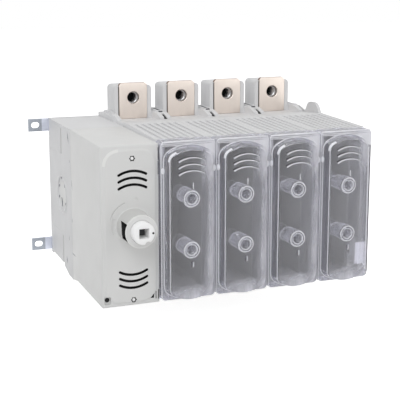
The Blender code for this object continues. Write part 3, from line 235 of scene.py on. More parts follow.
# Small features of the panel: grooves round the collar as (radius, width, start, end), the rest as (x, z)
PANEL_GROOVES = ((0.0247, 0.0009, 109.0, 161.0), (0.0205, 0.0030, 158.0, 202.0))
PANEL_GROOVE_DEPTH = 0.0004
DIMPLE_CENTRE = (-0.1149, 0.0268)
DIMPLE_RADIUS = 0.0016
DIMPLE_DEPTH = 0.0002
POCKET_X = (-0.1489, -0.1427)
POCKET_Z = (-0.0802, -0.0722)
POCKET_CORNER = 0.0012
POCKET_DEPTH = 0.0035
POCKET_HOLE_RADIUS = 0.0024
POCKET_HOLE = (-0.1459, -0.0757)
# The slits, the wedge and the second notch are painted black as shade
DARK_SLITS = (
    ((-0.0948, -0.0940), 0.0015, (-0.0795, -0.0715)), ((-0.0922, -0.0913), 0.0022, (-0.0800, -0.0700)),
)
DARK_WEDGE = ((-0.1006, -0.0782), (-0.0962, -0.0728), (-0.0966, -0.0785))
DARK_WEDGE_DEPTH = 0.0016
EDGE_NOTCHES = ((0.0014, 0.005, (0.0500, 0.0640), 0), (0.0011, 0.008, (0.0650, 0.0780), BLACK))
SCREWS = {"upper": 0.0685, "lower": -0.0776}
SCREW_RECESS_RADIUS = 0.0027
SCREW_LOBE = 0.00035
SCREW_FLOOR_RADIUS = 0.0034
SCREW_PIN_RADIUS = 0.0016
# Black screens behind the vents, as painted shade
VENT_SHADOW_SCREENS = {"upper": (0.0330, 0.0640), "lower": (-0.0720, -0.0420)}
VENT_SHADOW_HALF_WIDTH = 0.019

# Operating spindle
BOSS_RADIUS = 0.0112
BOSS_LENGTH = 0.026
BOSS_EDGE = 0.0014
SPINDLE_Y = -0.2660
SOCKET_WIDTH = 0.0098
SOCKET_DEPTH = 0.014
SOCKET_EASE = 0.0005
NOTCH_RADIUS = 0.0032
NOTCH_REACH = 0.0118
NOTCH_ANGLE = -70.0
NOTCH_LENGTH = 0.007
DOT_OFFSET = 0.0092
DOT_RADIUS = 0.0012
SHAFT_RADIUS = 0.007
JOURNAL_RADIUS = 0.005
JOURNAL_FRONT_Y = -0.0286
JOURNAL_END_Y = -0.0035
# Thin black arc behind the collar opening, as painted shadow
SHADOW_ARC_ANGLES = (125.0, 235.0)
SHADOW_ARC_LENGTH = 0.0155

# Terminals
TERMINAL_WIDTH = 0.0342
TERMINAL_FRONT_Y = -0.0474
TERMINAL_BACK_Y = -0.0424
TERMINAL_TOP = 0.1235
TERMINAL_END = 0.045
TERMINAL_CHAMFER = 0.0025
TERMINAL_CORNER = 0.0012
TERMINAL_PAD_RISE = 0.0005
TERMINAL_PAD_END = 0.0816
TERMINAL_HOLE_Z = 0.106
TERMINAL_HOLE_RADIUS = 0.0072
TERMINAL_HOLE_EASE = 0.0005
TERMINAL_EDGE = 0.0007
# Dark strip by each bar's left side, as painted shadow
TERMINAL_GAP_WIDTH = 0.0009
TERMINAL_GAP_Y = (-0.04632, -0.04622)
TERMINAL_GAP_Z = (0.0821, 0.1193)
INSERT_BORE = 0.0056
INSERT_PITCH = 0.00175
INSERT_THREAD = 0.0009
INSERT_LENGTH = 0.013

# Left side of the mechanism: dark marks of painted shade in small slits, as (y, z) from end to end, and their
# widths
POCKET_FILLERS = {"upper": (0.0474, 0.0775), "lower": (-0.0812, -0.0474)}
FILLER_Y = (-0.0600, -0.0026)
FILLER_GROOVE_Y = (-0.0668, -0.0598)
FILLER_DEPTH = 0.0040
SIDE_OPENING_Y = -0.064
SIDE_OPENING_RADIUS = 0.0148
SIDE_SLIT_SHADES = (
    ((-0.094, 0.0785), (-0.100, 0.0645), 0.0030), ((-0.1015, 0.0475), (-0.1025, 0.0435), 0.0012),
    ((-0.060, -0.004), (-0.063, -0.014), 0.0026), ((-0.059, 0.024), (-0.060, 0.018), 0.0014),
    ((-0.050, 0.0095), (-0.049, 0.0065), 0.0014), ((-0.075, 0.0155), (-0.0755, 0.0105), 0.0012),
    ((-0.048, -0.0035), (-0.048, -0.0065), 0.0012), ((-0.078, -0.0065), (-0.078, -0.0095), 0.0012),
    ((-0.109, -0.017), (-0.109, -0.023), 0.0011), ((-0.093, -0.041), (-0.093, -0.047), 0.0011),
    ((-0.079, -0.069), (-0.081, -0.077), 0.0030), ((-0.103, -0.058), (-0.123, -0.058), 0.0011),
    ((-0.109, 0.026), (-0.112, 0.015), 0.0012),
)

# End wall
EAR_ROUND_Z = 0.094
EAR_RADIUS = 0.0058

# Brackets, clips and the fillers of the slots between the poles, black as painted shade
BRACKET_END = -0.176
BRACKET_INNER = -0.1215
BRACKET_THICKNESS = 0.0021
BRACKET_FOOT_THICKNESS = 0.0014
BRACKET_BEND = -0.160
BRACKET_WIDTH = 0.015
BRACKET_EDGE = 0.0014
BRACKET_Z = 0.0727
BRACKET_SLOT = (0.0098, 0.0072, -0.1677)
CLIP_TOP = 0.0901
CLIP_CENTRE = 0.0435
CLIP_LENGTH = 0.032
CLIP_WIDTH = 0.0044
CLIP_HEIGHT = 0.0020
SLOT_FILLER = ((-0.0657, 0.0818), (-0.0657, 0.0868), (-0.0766, 0.0842), (-0.0798, 0.0832), (-0.0798, 0.0818))
SLOT_FILLER_HALF_WIDTH = 0.0012

# Camera, fitted to the photograph, and lamps as place, energy, size and tint
CAMERA_PLACE = Vector((-0.39690, -1.13025, 0.24309))
CAMERA_AZIMUTH = radians(-21.25)
CAMERA_ELEVATION = radians(10.6)
CAMERA_LENS = 87.05
CAMERA_SENSOR = 36.0
CAMERA_SHIFT = -0.1
LAMP_AIM = Vector((0.0, -0.1, 0.0))
LAMPS = {
    "key": ((-0.9, -1.3, 1.3), 12.0, (1.2, 1.2), (0.975, 0.988, 1.0)),
    "fill": ((1.5, -1.1, 0.9), 6.0, (1.2, 1.2), (1.0, 0.985, 0.955)),
    "top": ((-0.3, 0.3, 1.6), 3.0, (1.4, 0.9), (1.0, 1.0, 1.0)),
}

# Surroundings and floor
PURE_WHITE = (1.0, 1.0, 1.0, 1.0)
AMBIENT = 0.5
FLOOR_COLOUR = (0.8, 0.8, 0.8, 1.0)
FLOOR_GLOW = 0.82
FLOOR_HALF_SIZE = 6.0
FLOOR_GAP = 0.0005


def linear(red, green, blue):
    """Screen colour values from 0 to 255 as the linear values that a shader takes."""
    def one(value):
        share = value / 255
        return share / 12.92 if share <= 0.04045 else ((share + 0.055) / 1.055) ** 2.4
    return (one(red), one(green), one(blue), 1.0)


def add_node(tree, kind, inputs=None, **settings):
    """A shader node whose inputs, by name or number, each take a value or the socket that feeds them."""
    node = tree.nodes.new("ShaderNode" + kind)
    for key, value in settings.items():
        setattr(node, key, value)
    for key, value in (inputs or {}).items():
        if isinstance(value, bpy.types.NodeSocket):
            tree.links.new(value, node.inputs[key])
        else:
            node.inputs[key].default_value = value
    return node


class Finish:
    """A Principled material and the nodes that vary it."""

    def __init__(self, name, colour, roughness, metallic=0.0):
        self.key = name.replace(" ", "_")
        self.material = bpy.data.materials.new(name)
        self.material.use_nodes = True
        self.tree = self.material.node_tree
        self.shader = self.tree.nodes["Principled BSDF"]
        self.colour = colour
        self.set(Base_Color=colour, Roughness=roughness, Metallic=metallic)
        self.place = self.add("TexCoord").outputs["Object"]

    def add(self, kind, inputs=None, **settings):
        return add_node(self.tree, kind, inputs, **settings)

    def set(self, **values):
        """Plain values on the shader's own sockets, with _ for each space in a socket's name."""
        for key, value in values.items():
            self.shader.inputs[key.replace("_", " ")].default_value = value

    def feed(self, name, output):
        self.tree.links.new(output, self.shader.inputs[name])

    def noise(self, scale, detail=2.0, stretch=None):
        """Noise over the object, scaled by a different amount along each axis where stretch is given."""
        place = self.place
        if stretch:
            place = self.add("Mapping", {"Scale": stretch, "Vector": place}).outputs["Vector"]
        return self.add("TexNoise", {"Scale": scale, "Detail": detail, "Vector": place}).outputs["Fac"]

    def maths(self, operation, first, second):
        """One sum on two values, each a socket or a number."""
        return self.add("Math", {0: first, 1: second}, operation=operation).outputs[0]

    def ranged(self, value, low, high, to_low, to_high):
        """A value brought from one range into another, and held inside it."""
        ends = {"Value": value, "From Min": low, "From Max": high, "To Min": to_low, "To Max": to_high}
        return self.add("MapRange", ends).outputs["Result"]

    def mottle(self, scale, amount):
        """Slow changes of shade over the surface."""
        shade = self.ranged(self.noise(scale, 3.0), 0.0, 1.0, 1.0 - amount, 1.0 + amount)
        mix = self.add("VectorMath", {0: self.colour[:3], "Scale": shade}, operation="SCALE")
        self.feed("Base Color", mix.outputs["Vector"])

    def vary_roughness(self, scale, low, high, stretch=None):
        self.feed("Roughness", self.ranged(self.noise(scale, 3.0, stretch), 0.3, 0.7, low, high))

    def veil(self, share, colour):
        """A whitish layer over the shader, as strong as share."""
        milk = self.add("BsdfPrincipled", {"Base Color": colour, "Roughness": 0.35})
        mix = self.add("MixShader", {"Fac": share, 1: self.shader.outputs[0], 2: milk.outputs[0]})
        self.tree.links.new(mix.outputs[0], self.tree.nodes["Material Output"].inputs["Surface"])

    def painted_light_patches(self, lit_patches):
        """Painted light: soft whitish patches, each given by its centre (x, z), its reach (x, z) and its
        strength.
        """
        total = 0.0
        for (x, z), (reach_x, reach_z), strength in lit_patches:
            mapping = self.add("Mapping", {
                "Location": (-x / reach_x, 0.0, -z / reach_z),
                "Scale": (1 / reach_x, 0.0, 1 / reach_z),
                "Vector": self.place,
            })
            ball = self.add("TexGradient", {"Vector": mapping.outputs["Vector"]}, gradient_type="SPHERICAL")
            total = self.maths("ADD", self.maths("MULTIPLY", ball.outputs["Fac"], strength), total)
        uneven = self.ranged(self.noise(110.0, 3.0, (1.0, 1.0, 0.35)), 0.35, 0.65, 0.6, 1.25)
        self.veil(self.maths("MINIMUM", self.maths("MULTIPLY", total, uneven), 0.9), LIT_PATCH_COLOUR)

    def relief(self, scale, distance, strength, edge, stretch=None):
        """Fine bump, over edges that are rounded by the given radius."""
        bevel = self.add("Bevel", {"Radius": edge}, samples=4)
        bump = self.add("Bump", {
            "Strength": strength,
            "Distance": distance,
            "Height": self.noise(scale, 2.0, stretch),
            "Normal": bevel.outputs["Normal"],
        })
        self.feed("Normal", bump.outputs["Normal"])


def moulding(name, colour, roughness=0.5, edge=0.0006, grain=0.00006):
    finish = Finish(name, linear(*colour), roughness)
    finish.mottle(14.0, 0.02)
    finish.vary_roughness(60.0, roughness - 0.05, roughness + 0.07)
    finish.relief(1600.0, grain, 0.5, edge)
    return finish


def metal(name, colour, low, high, stretch, mottle=0.03):
    finish = Finish(name, linear(*colour), low, 1.0)
    finish.mottle(40.0, mottle)
    finish.vary_roughness(260.0, low, high, stretch)
    finish.relief(500.0, 0.00004, 0.35, 0.0004, stretch)
    return finish


def clear_plastic(name, colour, roughness, transmission, alpha, lit_patches=()):
    """Clear polycarbonate; less transmission gives the whitish finish painted on edges and moulded corners as
    highlights.
    """
    finish = Finish(name, linear(*colour), roughness)
    finish.set(Transmission_Weight=transmission, IOR=1.46, Alpha=alpha)
    finish.mottle(20.0, 0.01)
    if lit_patches:
        finish.painted_light_patches(lit_patches)
    return finish


def slant_highlight_plastic(name, colour):
    """Clear plastic that turns whitish where seen at a slant as a painted highlight, with small speckles of
    painted glint.
    """
    finish = clear_plastic(name, colour, 0.05, 1.0, 0.72)
    slant = finish.add("LayerWeight", {"Blend": 0.55})
    sharp = finish.ranged(slant.outputs["Facing"], 0.62, 0.96, 0.10, 0.95)
    glint = finish.ranged(finish.noise(480.0, 1.0), 0.54, 0.60, 0.0, 0.75)
    finish.veil(finish.maths("MAXIMUM", sharp, glint), finish.colour)
    return finish


def make_finishes():
    """One material for each slot of the record, and a few for small pieces."""
    across = (1.0, 14.0, 1.0)
    even = (1.0, 1.0, 1.0)
    window = ((244, 244, 250), 0.02, 1.0, 0.72)
    haze = ((228, 228, 242), 0.12, 0.86, 0.75)
    finishes = [
        moulding("grey moulding", (221, 221, 222), 0.52),
        moulding("front moulding", (221, 221, 220), 0.46),
        moulding("white plastic", (252, 252, 252), 0.38, 0.0005, 0.00003),
        moulding("dark insulator", (70, 70, 74), 0.55),
        clear_plastic("clear cover", *window, LIT_PATCHES),
        clear_plastic("last cover", *window, LAST_LIT_PATCHES),
        clear_plastic("last cover haze", *haze, LAST_LIT_PATCHES),
        clear_plastic("cover edge", (248, 248, 254), 0.3, 0.0, 0.72),
        clear_plastic("cover haze", *haze, LIT_PATCHES),
        slant_highlight_plastic("cover tube", (246, 246, 252)),
        clear_plastic("cover white", (250, 250, 255), 0.3, 0.0, 0.88),
        clear_plastic("cover dark", (96, 92, 104), 0.25, 0.0, 0.85),
        moulding("chamber inside", (208, 208, 208)),
        moulding("front light", (231, 231, 229), 0.42, 0.0004, 0.00003),
        moulding("front shade", (205, 205, 203)),
        moulding("end plate", (178, 178, 186)),
        moulding("end block", (240, 240, 246), 0.4),
        moulding("side mark", (128, 129, 138)),
        metal("zinc foot", (160, 165, 173), 0.4, 0.55, even, 0.1),
        metal("copper edge", (120, 92, 78), 0.4, 0.5, across),
        moulding("gap shadow", (58, 46, 42), 0.6),
        moulding("black", (6, 6, 7), 0.7),
        metal("dark steel", (60, 62, 68), 0.35, 0.5, across),
        metal("zinc insert", (176, 176, 178), 0.22, 0.35, across),
        metal("tinned copper", (228, 218, 210), 0.4, 0.6, (1.0, 1.0, 0.05)),
        metal("bare copper", (214, 150, 118), 0.25, 0.4, across),
        metal("steel", (170, 172, 176), 0.28, 0.42, across),
        metal("zinc steel", (206, 210, 222), 0.4, 0.55, even, 0.06),
    ]
    return {finish.key: finish.material for finish in finishes}


FINISHES = make_finishes()
PLANES = {
    "x": lambda a, b, along: Vector((along, a, b)),
    "y": lambda a, b, along: Vector((a, along, b)),
    "z": lambda a, b, along: Vector((a, b, along)),
}


def dress(mesh, *names):
    """Give a mesh the named finishes, one to a slot."""
    for name in names:
        mesh.materials.append(FINISHES[name])


def stored(bm, name):
    """The mesh of a bmesh, which is freed."""
    mesh = bpy.data.meshes.new(name)
    bm.to_mesh(mesh)
    bm.free()
    return mesh


def closed(bm):
    """The mesh of a bmesh with its faces pointing out."""
    bmesh.ops.recalc_face_normals(bm, faces=bm.faces)
    return stored(bm, "piece")


def ring_of(bm, outline, along, axis):
    return [bm.verts.new(PLANES[axis](a, b, along)) for a, b in outline]


def prism(outline, low, high, axis):
    """A solid of one outline between two places along an axis."""
    bm = bmesh.new()
    edges = []
    for along in (low, high):
        verts = ring_of(bm, outline, along, axis)
        edges += [bm.edges.new((verts[i - 1], verts[i])) for i in range(len(verts))]
        bm.faces.new(verts)
    bmesh.ops.bridge_loops(bm, edges=edges)
    return closed(bm)


def stack(layers, axis, first=0, last=0):
    """A solid through a row of outlines: each layer is (outline, place, material of the band before it)."""
    bm = bmesh.new()
    before = None
    for outline, along, band in layers:
        verts = ring_of(bm, outline, along, axis)
        if before is None:
            bm.faces.new(verts).material_index = first
        else:
            for i in range(len(verts)):
                bm.faces.new((before[i - 1], before[i], verts[i], verts[i - 1])).material_index = band
        before = verts
    bm.faces.new(before).material_index = last
    return closed(bm)


def painted(mesh, index):
    """The mesh with all its faces set to one material slot."""
    for face in mesh.polygons:
        face.material_index = index
    return mesh


def rectangle(a0, a1, b0, b1):
    return [(a0, b0), (a1, b0), (a1, b1), (a0, b1)]


def block(x_range, y_range, z_range):
    return prism(rectangle(*x_range, *y_range), *z_range, "z")


def circle(radius, centre, segments=32):
    turn = 2 * pi / segments
    return [(centre[0] + radius * cos(turn * i), centre[1] + radius * sin(turn * i)) for i in range(segments)]


def cylinder(radius, centre, low, high, axis, segments=32):
    return prism(circle(radius, centre, segments), low, high, axis)


def turned(profile, centre, segments=48, bands=()):
    """A profile of (radius, y) turned about a line along Y through centre (x, z)."""
    bm = bmesh.new()
    rings = []
    for radius, y in profile:
        if radius == 0.0:
            rings.append([bm.verts.new((centre[0], y, centre[1]))] * segments)
            continue
        angles = [2 * pi * i / segments for i in range(segments)]
        rings.append([bm.verts.new((centre[0] + radius * cos(angle), y, centre[1] + radius * sin(angle)))
                      for angle in angles])
    pairs = list(zip(rings, rings[1:]))
    if profile[0][0] > 0.0 and profile[-1][0] > 0.0:
        pairs.append((rings[-1], rings[0]))
    for number, (low, high) in enumerate(pairs):
        for k in range(segments):
            corners = list(dict.fromkeys((low[k - 1], low[k], high[k], high[k - 1])))
            if len(corners) > 2:
                bm.faces.new(corners).material_index = bands[number] if bands else 0
    return closed(bm)


def rounded(points, radius, steps=6):
    """An outline with each corner replaced by an arc."""
    made = []
    for i, corner in enumerate(points):
        here = Vector(corner)
        before = (Vector(points[i - 1]) - here).normalized()
        after = (Vector(points[(i + 1) % len(points)]) - here).normalized()
        half = before.angle(after) / 2
        centre = here + (before + after).normalized() * (radius / sin(half))
        first = here + before * (radius / tan(half)) - centre
        last = here + after * (radius / tan(half)) - centre
        for step in range(steps + 1):
            made.append(tuple(centre + first.slerp(last, step / steps).normalized() * radius))
    return made


def tapered_arc(centre, outer, width, last_width, start, end, steps):
    """A curved band under an arc, whose width changes evenly from one end to the other."""
    made = []
    for order in (1, -1):
        for i in range(steps + 1):
            share = i / steps if order > 0 else 1 - i / steps
            reach = outer if order > 0 else outer - width - (last_width - width) * share
            angle = radians(start + (end - start) * share)
            made.append((centre[0] + reach * cos(angle), centre[1] + reach * sin(angle)))
    return made


def arc_band(centre, radius, width, start, end, steps):
    """A curved band of even width about a centre, between two angles in degrees."""
    return tapered_arc(centre, radius + width / 2, width, width, start, end, steps)


def window_outline(half_width, top, bottom, radius, corner, steps=21, corner_steps=7):
    """A tall window with arched ends and rounded corners, seen from the front."""
    side = half_width - corner
    rise = ((radius - corner) ** 2 - side ** 2) ** 0.5
    tilt = atan2(rise, side)
    turns = [tilt * i / corner_steps for i in range(corner_steps)]
    made = []
    for centre_z, turn in ((top - radius, 1), (radius - bottom, -1)):
        half = [(side + corner * cos(angle), rise + corner * sin(angle)) for angle in turns]
        for i in range(steps + 1):
            angle = tilt + (pi - 2 * tilt) * i / steps
            half.append((radius * cos(angle), radius * sin(angle)))
        half += [(-side - corner * cos(angle), rise + corner * sin(angle)) for angle in reversed(turns)]
        made += [(turn * a, centre_z + turn * b) for a, b in half]
    return made


def lobed(radius, lobe, count, centre, segments=72):
    """A circle with a few soft lobes."""
    made = []
    for i in range(segments):
        angle = 2 * pi * i / segments
        reach = radius + lobe * cos(count * angle)
        made.append((reach * cos(angle) + centre[0], reach * sin(angle) + centre[1]))
    return made


def welded(mesh, flat=False):
    """The mesh without doubled points, and with its flat areas joined where flat is set."""
    bm = bmesh.new()
    bm.from_mesh(mesh)
    bmesh.ops.remove_doubles(bm, verts=bm.verts, dist=WELD)
    if flat:
        bmesh.ops.dissolve_limit(bm, angle_limit=FLAT_ANGLE, verts=bm.verts, edges=bm.edges)
    bmesh.ops.dissolve_degenerate(bm, edges=bm.edges, dist=WELD)
    made = stored(bm, "welded")
    for material in mesh.materials:
        made.materials.append(material)
    return made


def linked(name, data):
    """A new object in the scene."""
    made = bpy.data.objects.new(name, data)
    bpy.context.collection.objects.link(made)
    return made


def applied(body):
    """The mesh of an object after its modifiers."""
    graph = bpy.context.evaluated_depsgraph_get()
    mesh = bpy.data.meshes.new_from_object(body.evaluated_get(graph))
    bpy.data.objects.remove(body, do_unlink=True)
    return mesh


def shaped(base, joined=(), cut=(), slots=()):
    """The mesh of base after an exact union and difference with each given mesh."""
    for mesh in (base, *joined, *cut):
        if not mesh.materials:
            dress(mesh, *slots)
    body = linked("body", base)
    helpers = []
    for operation, meshes in (("UNION", joined), ("DIFFERENCE", cut)):
        for mesh in meshes:
            helpers.append(linked("helper", mesh))
            boolean = body.modifiers.new(operation.lower(), "BOOLEAN")
            boolean.operation = operation
            boolean.object = helpers[-1]
    mesh = applied(body)
    for helper in helpers:
        bpy.data.objects.remove(helper, do_unlink=True)
    return welded(mesh)


def eased(mesh, width, segments=2, share=None):
    """The mesh with its edges rounded; share gives the part of the width that an edge's middle takes."""
    bm = bmesh.new()
    bm.from_mesh(welded(mesh, flat=True))
    weight = bm.edges.layers.float.new("bevel_weight_edge")
    for edge in bm.edges:
        if edge.is_manifold and edge.calc_face_angle() > SHARP_ANGLE:
            edge[weight] = share((edge.verts[0].co + edge.verts[1].co) / 2) if share else 1.0
    body = linked("body", stored(bm, "eased"))
    bevel = body.modifiers.new("edges", "BEVEL")
    bevel.width = width
    bevel.segments = segments
    bevel.limit_method = "WEIGHT"
    bevel.use_clamp_overlap = True
    bevel.miter_outer = "MITER_ARC"
    return applied(body)


def put(name, mesh, finish=None, body="housing", place=(0.0, 0.0, 0.0), node=None, smooth=32.0):
    """One piece of the looks, riding on a body and standing in for a node where one is named."""
    if not mesh.materials:
        dress(mesh, finish)
    mesh.shade_smooth()
    mesh.set_sharp_from_angle(angle=radians(smooth))
    made = linked(name, mesh)
    made.location = place
    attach(made, body)
    if node:
        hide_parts(node)


def pole_place(number):
    return (FIRST_POLE_X + (number - 1) * POLE_PITCH, 0.0, 0.0)


def node_mesh(name):
    """A copy of a node's mesh, its triangles joined into flat faces."""
    mesh = welded(frame["nodes"][name].data, flat=True)
    mesh.materials.clear()
    return mesh


def dress_nodes():
    """Each solid of the frame gets the finish of its slot."""
    for name, node in frame["nodes"].items():
        node.data.materials.clear()
        dress(node.data, SLOT_OF[name])


def flange_ring(inset, spare):
    half = POLE_PITCH / 2 - COVER_SIDE_GAP - inset
    outline = rectangle(-half, half + spare, -COVER_BOTTOM + inset, COVER_TOP - inset)
    return rounded(outline, COVER_CORNER - inset)


def window_ring(grow, low_grow):
    return window_outline(WINDOW_WIDTH / 2 + grow, WINDOW_TOP + grow, WINDOW_BOTTOM + low_grow,
                          WINDOW_ARCH_RADIUS + grow, WINDOW_CORNER + grow)


def probe_tube(z):
    """One probe tube whose front lip and foot are painted bright as highlights, and its bore."""
    lip = WINDOW_Y - PROBE_LIP
    end = WINDOW_Y + PROBE_TUBE_LENGTH
    outer = PROBE_OUTER_RADIUS
    slim = outer - PROBE_DRAFT
    tube = turned([
        (0.0, WINDOW_Y + COVER_WALL / 2), (0.0, lip),
        (PROBE_BORE_RADIUS + PROBE_INNER_RING, lip), (outer - PROBE_OUTER_RING, lip),
        (outer - 2 * PROBE_STEP, WINDOW_Y), (outer - PROBE_STEP, WINDOW_Y + COVER_WALL),
        (slim - PROBE_FOOT, end - PROBE_FOOT_LENGTH - 2 * PROBE_STEP), (slim, end - PROBE_FOOT_LENGTH),
        (slim, end - PROBE_EDGE), (slim - PROBE_EDGE, end), (0.0, end),
    ], (0.0, z), 44, (EDGE, EDGE, HAZE, EDGE, HAZE, TUBE, WHITE, WHITE, EDGE, TUBE))
    wide = PROBE_BORE_RADIUS + PROBE_EDGE
    rear = PROBE_BORE_RADIUS - PROBE_BORE_DRAFT
    bore = turned([
        (0.0, lip - CUT), (wide, lip - CUT), (wide, lip), (PROBE_BORE_RADIUS, lip + 2 * PROBE_EDGE),
        (rear, end - PROBE_EDGE), (rear + PROBE_EDGE / 2, end), (rear + PROBE_EDGE / 2, end + CUT),
        (0.0, end + CUT),
    ], (0.0, z), 44, (EDGE, EDGE, EDGE, TUBE, EDGE, EDGE, EDGE))
    return tube, bore


def raised_window():
    """The raised part of a cover, hazy at its shoulder, with painted highlights on its edges and one corner.
    """
    draft = WINDOW_DRAFT
    ease = COVER_EDGE
    shoulder_y = FLANGE_Y + WINDOW_SHOULDER * (WINDOW_Y - FLANGE_Y)
    raised = stack([
        (window_ring(draft + ease, draft / 4 + ease), FLANGE_Y + COVER_WALL / 2, 0),
        (window_ring(draft + ease, draft / 4 + ease), FLANGE_Y, HAZE),
        (window_ring(draft, draft / 4), FLANGE_Y - ease, EDGE),
        (window_ring(0.35 * draft, 0.09 * draft), shoulder_y, HAZE),
        (window_ring(ease / 2, ease / 6), WINDOW_Y + 1.2 * ease, HAZE),
        (window_ring(-0.2 * ease, -0.2 * ease), WINDOW_Y + 0.35 * ease, EDGE),
        (window_ring(-ease, -ease), WINDOW_Y, HAZE),
    ], "y", HAZE, CLEAR)
    # Along the top of the arch the painted edge highlight gives way to haze, and one upper corner is painted
    # white as a highlight
    for face in raised.polygons:
        x, y, z = face.center
        if y >= shoulder_y:
            continue
        if face.material_index == EDGE and abs(x) < ARCH_HAZE_X and z > 0.0:
            face.material_index = HAZE
        corner = HIGHLIGHT_X[0] < x < HIGHLIGHT_X[1] and z > HIGHLIGHT_Z
        if corner and face.material_index != CLEAR and abs(face.normal.y) < 0.9:
            face.material_index = WHITE
    return raised


def cover_marks(near, far):
    """Painted highlights: bands on the flange, marks by the tubes with a painted shadow by one, and two pins,
    between the flange's two sides.
    """
    bands = [rectangle(near, far, *z_range) for z_range in FLANGE_BANDS]
    bands.append([(near, SWEPT_BAND_TOP), (near, SWEPT_BAND_ENDS[0]), *SWEPT_BAND,
                  (far, SWEPT_BAND_ENDS[1]), (far, SWEPT_BAND_TOP)])
    under = COVER_WALL / 2
    made = [painted(prism(band, FLANGE_Y - BAND_RISE, FLANGE_Y + under, "y"), EDGE) for band in bands]
    for low, high in RIB_MARKS:
        strokes = [(RIB_MARK_X, EDGE)]
        if high < 0.0:
            strokes.append((RIB_MARK_X - RIB_SHADE_SHIFT, DARK))
        for x, index in strokes:
            stroke = block((x - RIB_MARK_HALF_WIDTH, x + RIB_MARK_HALF_WIDTH),
                           (WINDOW_Y - RIB_MARK_RISE, WINDOW_Y + under), (low, high))
            made.append(painted(stroke, index))
    for side in (1, -1):
        pin = [(a + side * PIN_X, 2 * b + PIN_Z) for a, b in circle(PIN_RADIUS, (0.0, 0.0), 20)]
        made.append(painted(prism(pin, FLANGE_Y - PIN_RISE, FLANGE_Y + under, "y"), WHITE))
    return made


def cover_shape(slots, spare=0.0):
    """One clear cover, wider by spare on the right: a raised window, two tubes and three slots."""
    half = POLE_PITCH / 2 - COVER_SIDE_GAP
    wall = COVER_WALL
    draft = WINDOW_DRAFT
    ease = COVER_EDGE
    # The flange's rim is painted with the edge finish as a highlight
    shell = stack([
        (flange_ring(0.0, spare), COVER_BACK_Y, 0),
        (flange_ring(0.0, spare), FLANGE_Y + ease, HAZE),
        (flange_ring(0.3 * ease, spare), FLANGE_Y + 0.3 * ease, EDGE),
        (flange_ring(ease, spare), FLANGE_Y, EDGE),
    ], "y", EDGE, HAZE)
    hollow = [
        stack([(flange_ring(wall, spare), COVER_BACK_Y + CUT, 0),
               (flange_ring(wall, spare), FLANGE_Y + wall, CLEAR)], "y"),
        stack([(window_ring(draft - wall, draft / 4 - wall), FLANGE_Y + 2 * wall, 0),
               (window_ring(draft - wall, draft / 4 - wall), FLANGE_Y + 0.6 * wall, CLEAR),
               (window_ring(-wall, -wall), WINDOW_Y + wall, CLEAR)], "y"),
    ]
    hinge = (HINGE_Y, HINGE_Z)
    knuckle = cylinder(HINGE_KNUCKLE_RADIUS, hinge, -HINGE_HALF_LENGTH, HINGE_HALF_LENGTH, "x")
    latch = block((-LATCH_WIDTH / 2, LATCH_WIDTH / 2), (FLANGE_Y + wall / 2, COVER_BACK_Y + LATCH_LENGTH),
                  (COVER_TOP - LATCH_THICKNESS, COVER_TOP - wall / 8))
    added = [painted(knuckle, HAZE), painted(latch, HAZE)]
    holes = [cylinder(HINGE_BORE_RADIUS, hinge, -HINGE_HALF_LENGTH - CUT, HINGE_HALF_LENGTH + CUT, "x", 20)]
    for z in (PROBE_UPPER_Z, -PROBE_LOWER_Z):
        tube, bore = probe_tube(z)
        added.append(tube)
        holes.append(bore)
    added += cover_marks(-half + BAND_MARGIN, half + spare - BAND_MARGIN)
    angles = (90 + ARCH_ANGLE, 90 - ARCH_ANGLE)
    for i in range(VENT_COUNT):
        centre = (0.0, COVER_SLOT_TOP - i * COVER_SLOT_PITCH - ARCH_MIDDLE)
        # A ledge painted bright as a highlight below a slit painted dark as shade
        ledge = tapered_arc(centre, ARCH_MIDDLE + LEDGE_SHIFT, *LEDGE_WIDTHS, *angles, 19)
        added.append(painted(prism(ledge, WINDOW_Y - LEDGE_RISE, WINDOW_Y + wall / 2, "y"), EDGE))
        slit = arc_band(centre, ARCH_MIDDLE + SLIT_SHIFT, SLIT_WIDTH, *angles, 19)
        holes.append(painted(prism(slit, WINDOW_Y - CUT, WINDOW_Y + wall + CUT / 3, "y"), DARK))
    # Hinge reliefs are painted with the edge finish as highlights
    for side in (1, -1):
        x_range = sorted((side * (HINGE_HALF_LENGTH + CLEARANCE), side * (half + CUT)))
        relief = block(x_range, (HINGE_Y - HINGE_RELIEF, COVER_BACK_Y + CUT),
                       (HINGE_Z - HINGE_RELIEF - CUT, HINGE_Z + HINGE_RELIEF))
        holes.append(painted(relief, EDGE))
    outer = shaped(shell, [raised_window()], slots=slots)
    return shaped(shaped(outer, cut=hollow, slots=slots), added, holes, slots)


def make_covers():
    """The four clear covers, each on its own hinge, and the plates of painted light and shade in the last
    one.
    """
    slots = ["clear_cover", "cover_edge", "cover_haze", "cover_tube", "cover_dark", "cover_white"]
    inner = cover_shape(slots)
    slots[CLEAR] = "last_cover"
    slots[HAZE] = "last_cover_haze"
    last = cover_shape(slots, LAST_COVER_SPARE)
    for number in POLES:
        put(f"clear_cover_{number}", last if number == POLE_COUNT else inner, None, f"cover_{number}",
            pole_place(number), f"fuse_cover_{number}")
    edge = POLE_PITCH / 2 - COVER_SIDE_GAP + LAST_COVER_SPARE
    for name, (finish, insets, depths, z_range) in LAST_COVER_PLATES.items():
        x_range = [edge - inset for inset in insets]
        plate = block(x_range, [FLANGE_Y + depth for depth in depths], z_range)
        put(f"last_cover_{name}", plate, finish, f"cover_{POLE_COUNT}", pole_place(POLE_COUNT))


def panel_ring(inset):
    outline = rectangle(MECHANISM_LEFT + PANEL_MARGIN + inset, MECHANISM_COVER_RIGHT - PANEL_MARGIN - inset,
                        -PANEL_BOTTOM + inset, PANEL_TOP - inset)
    return rounded(outline, PANEL_CORNER - inset, 12)


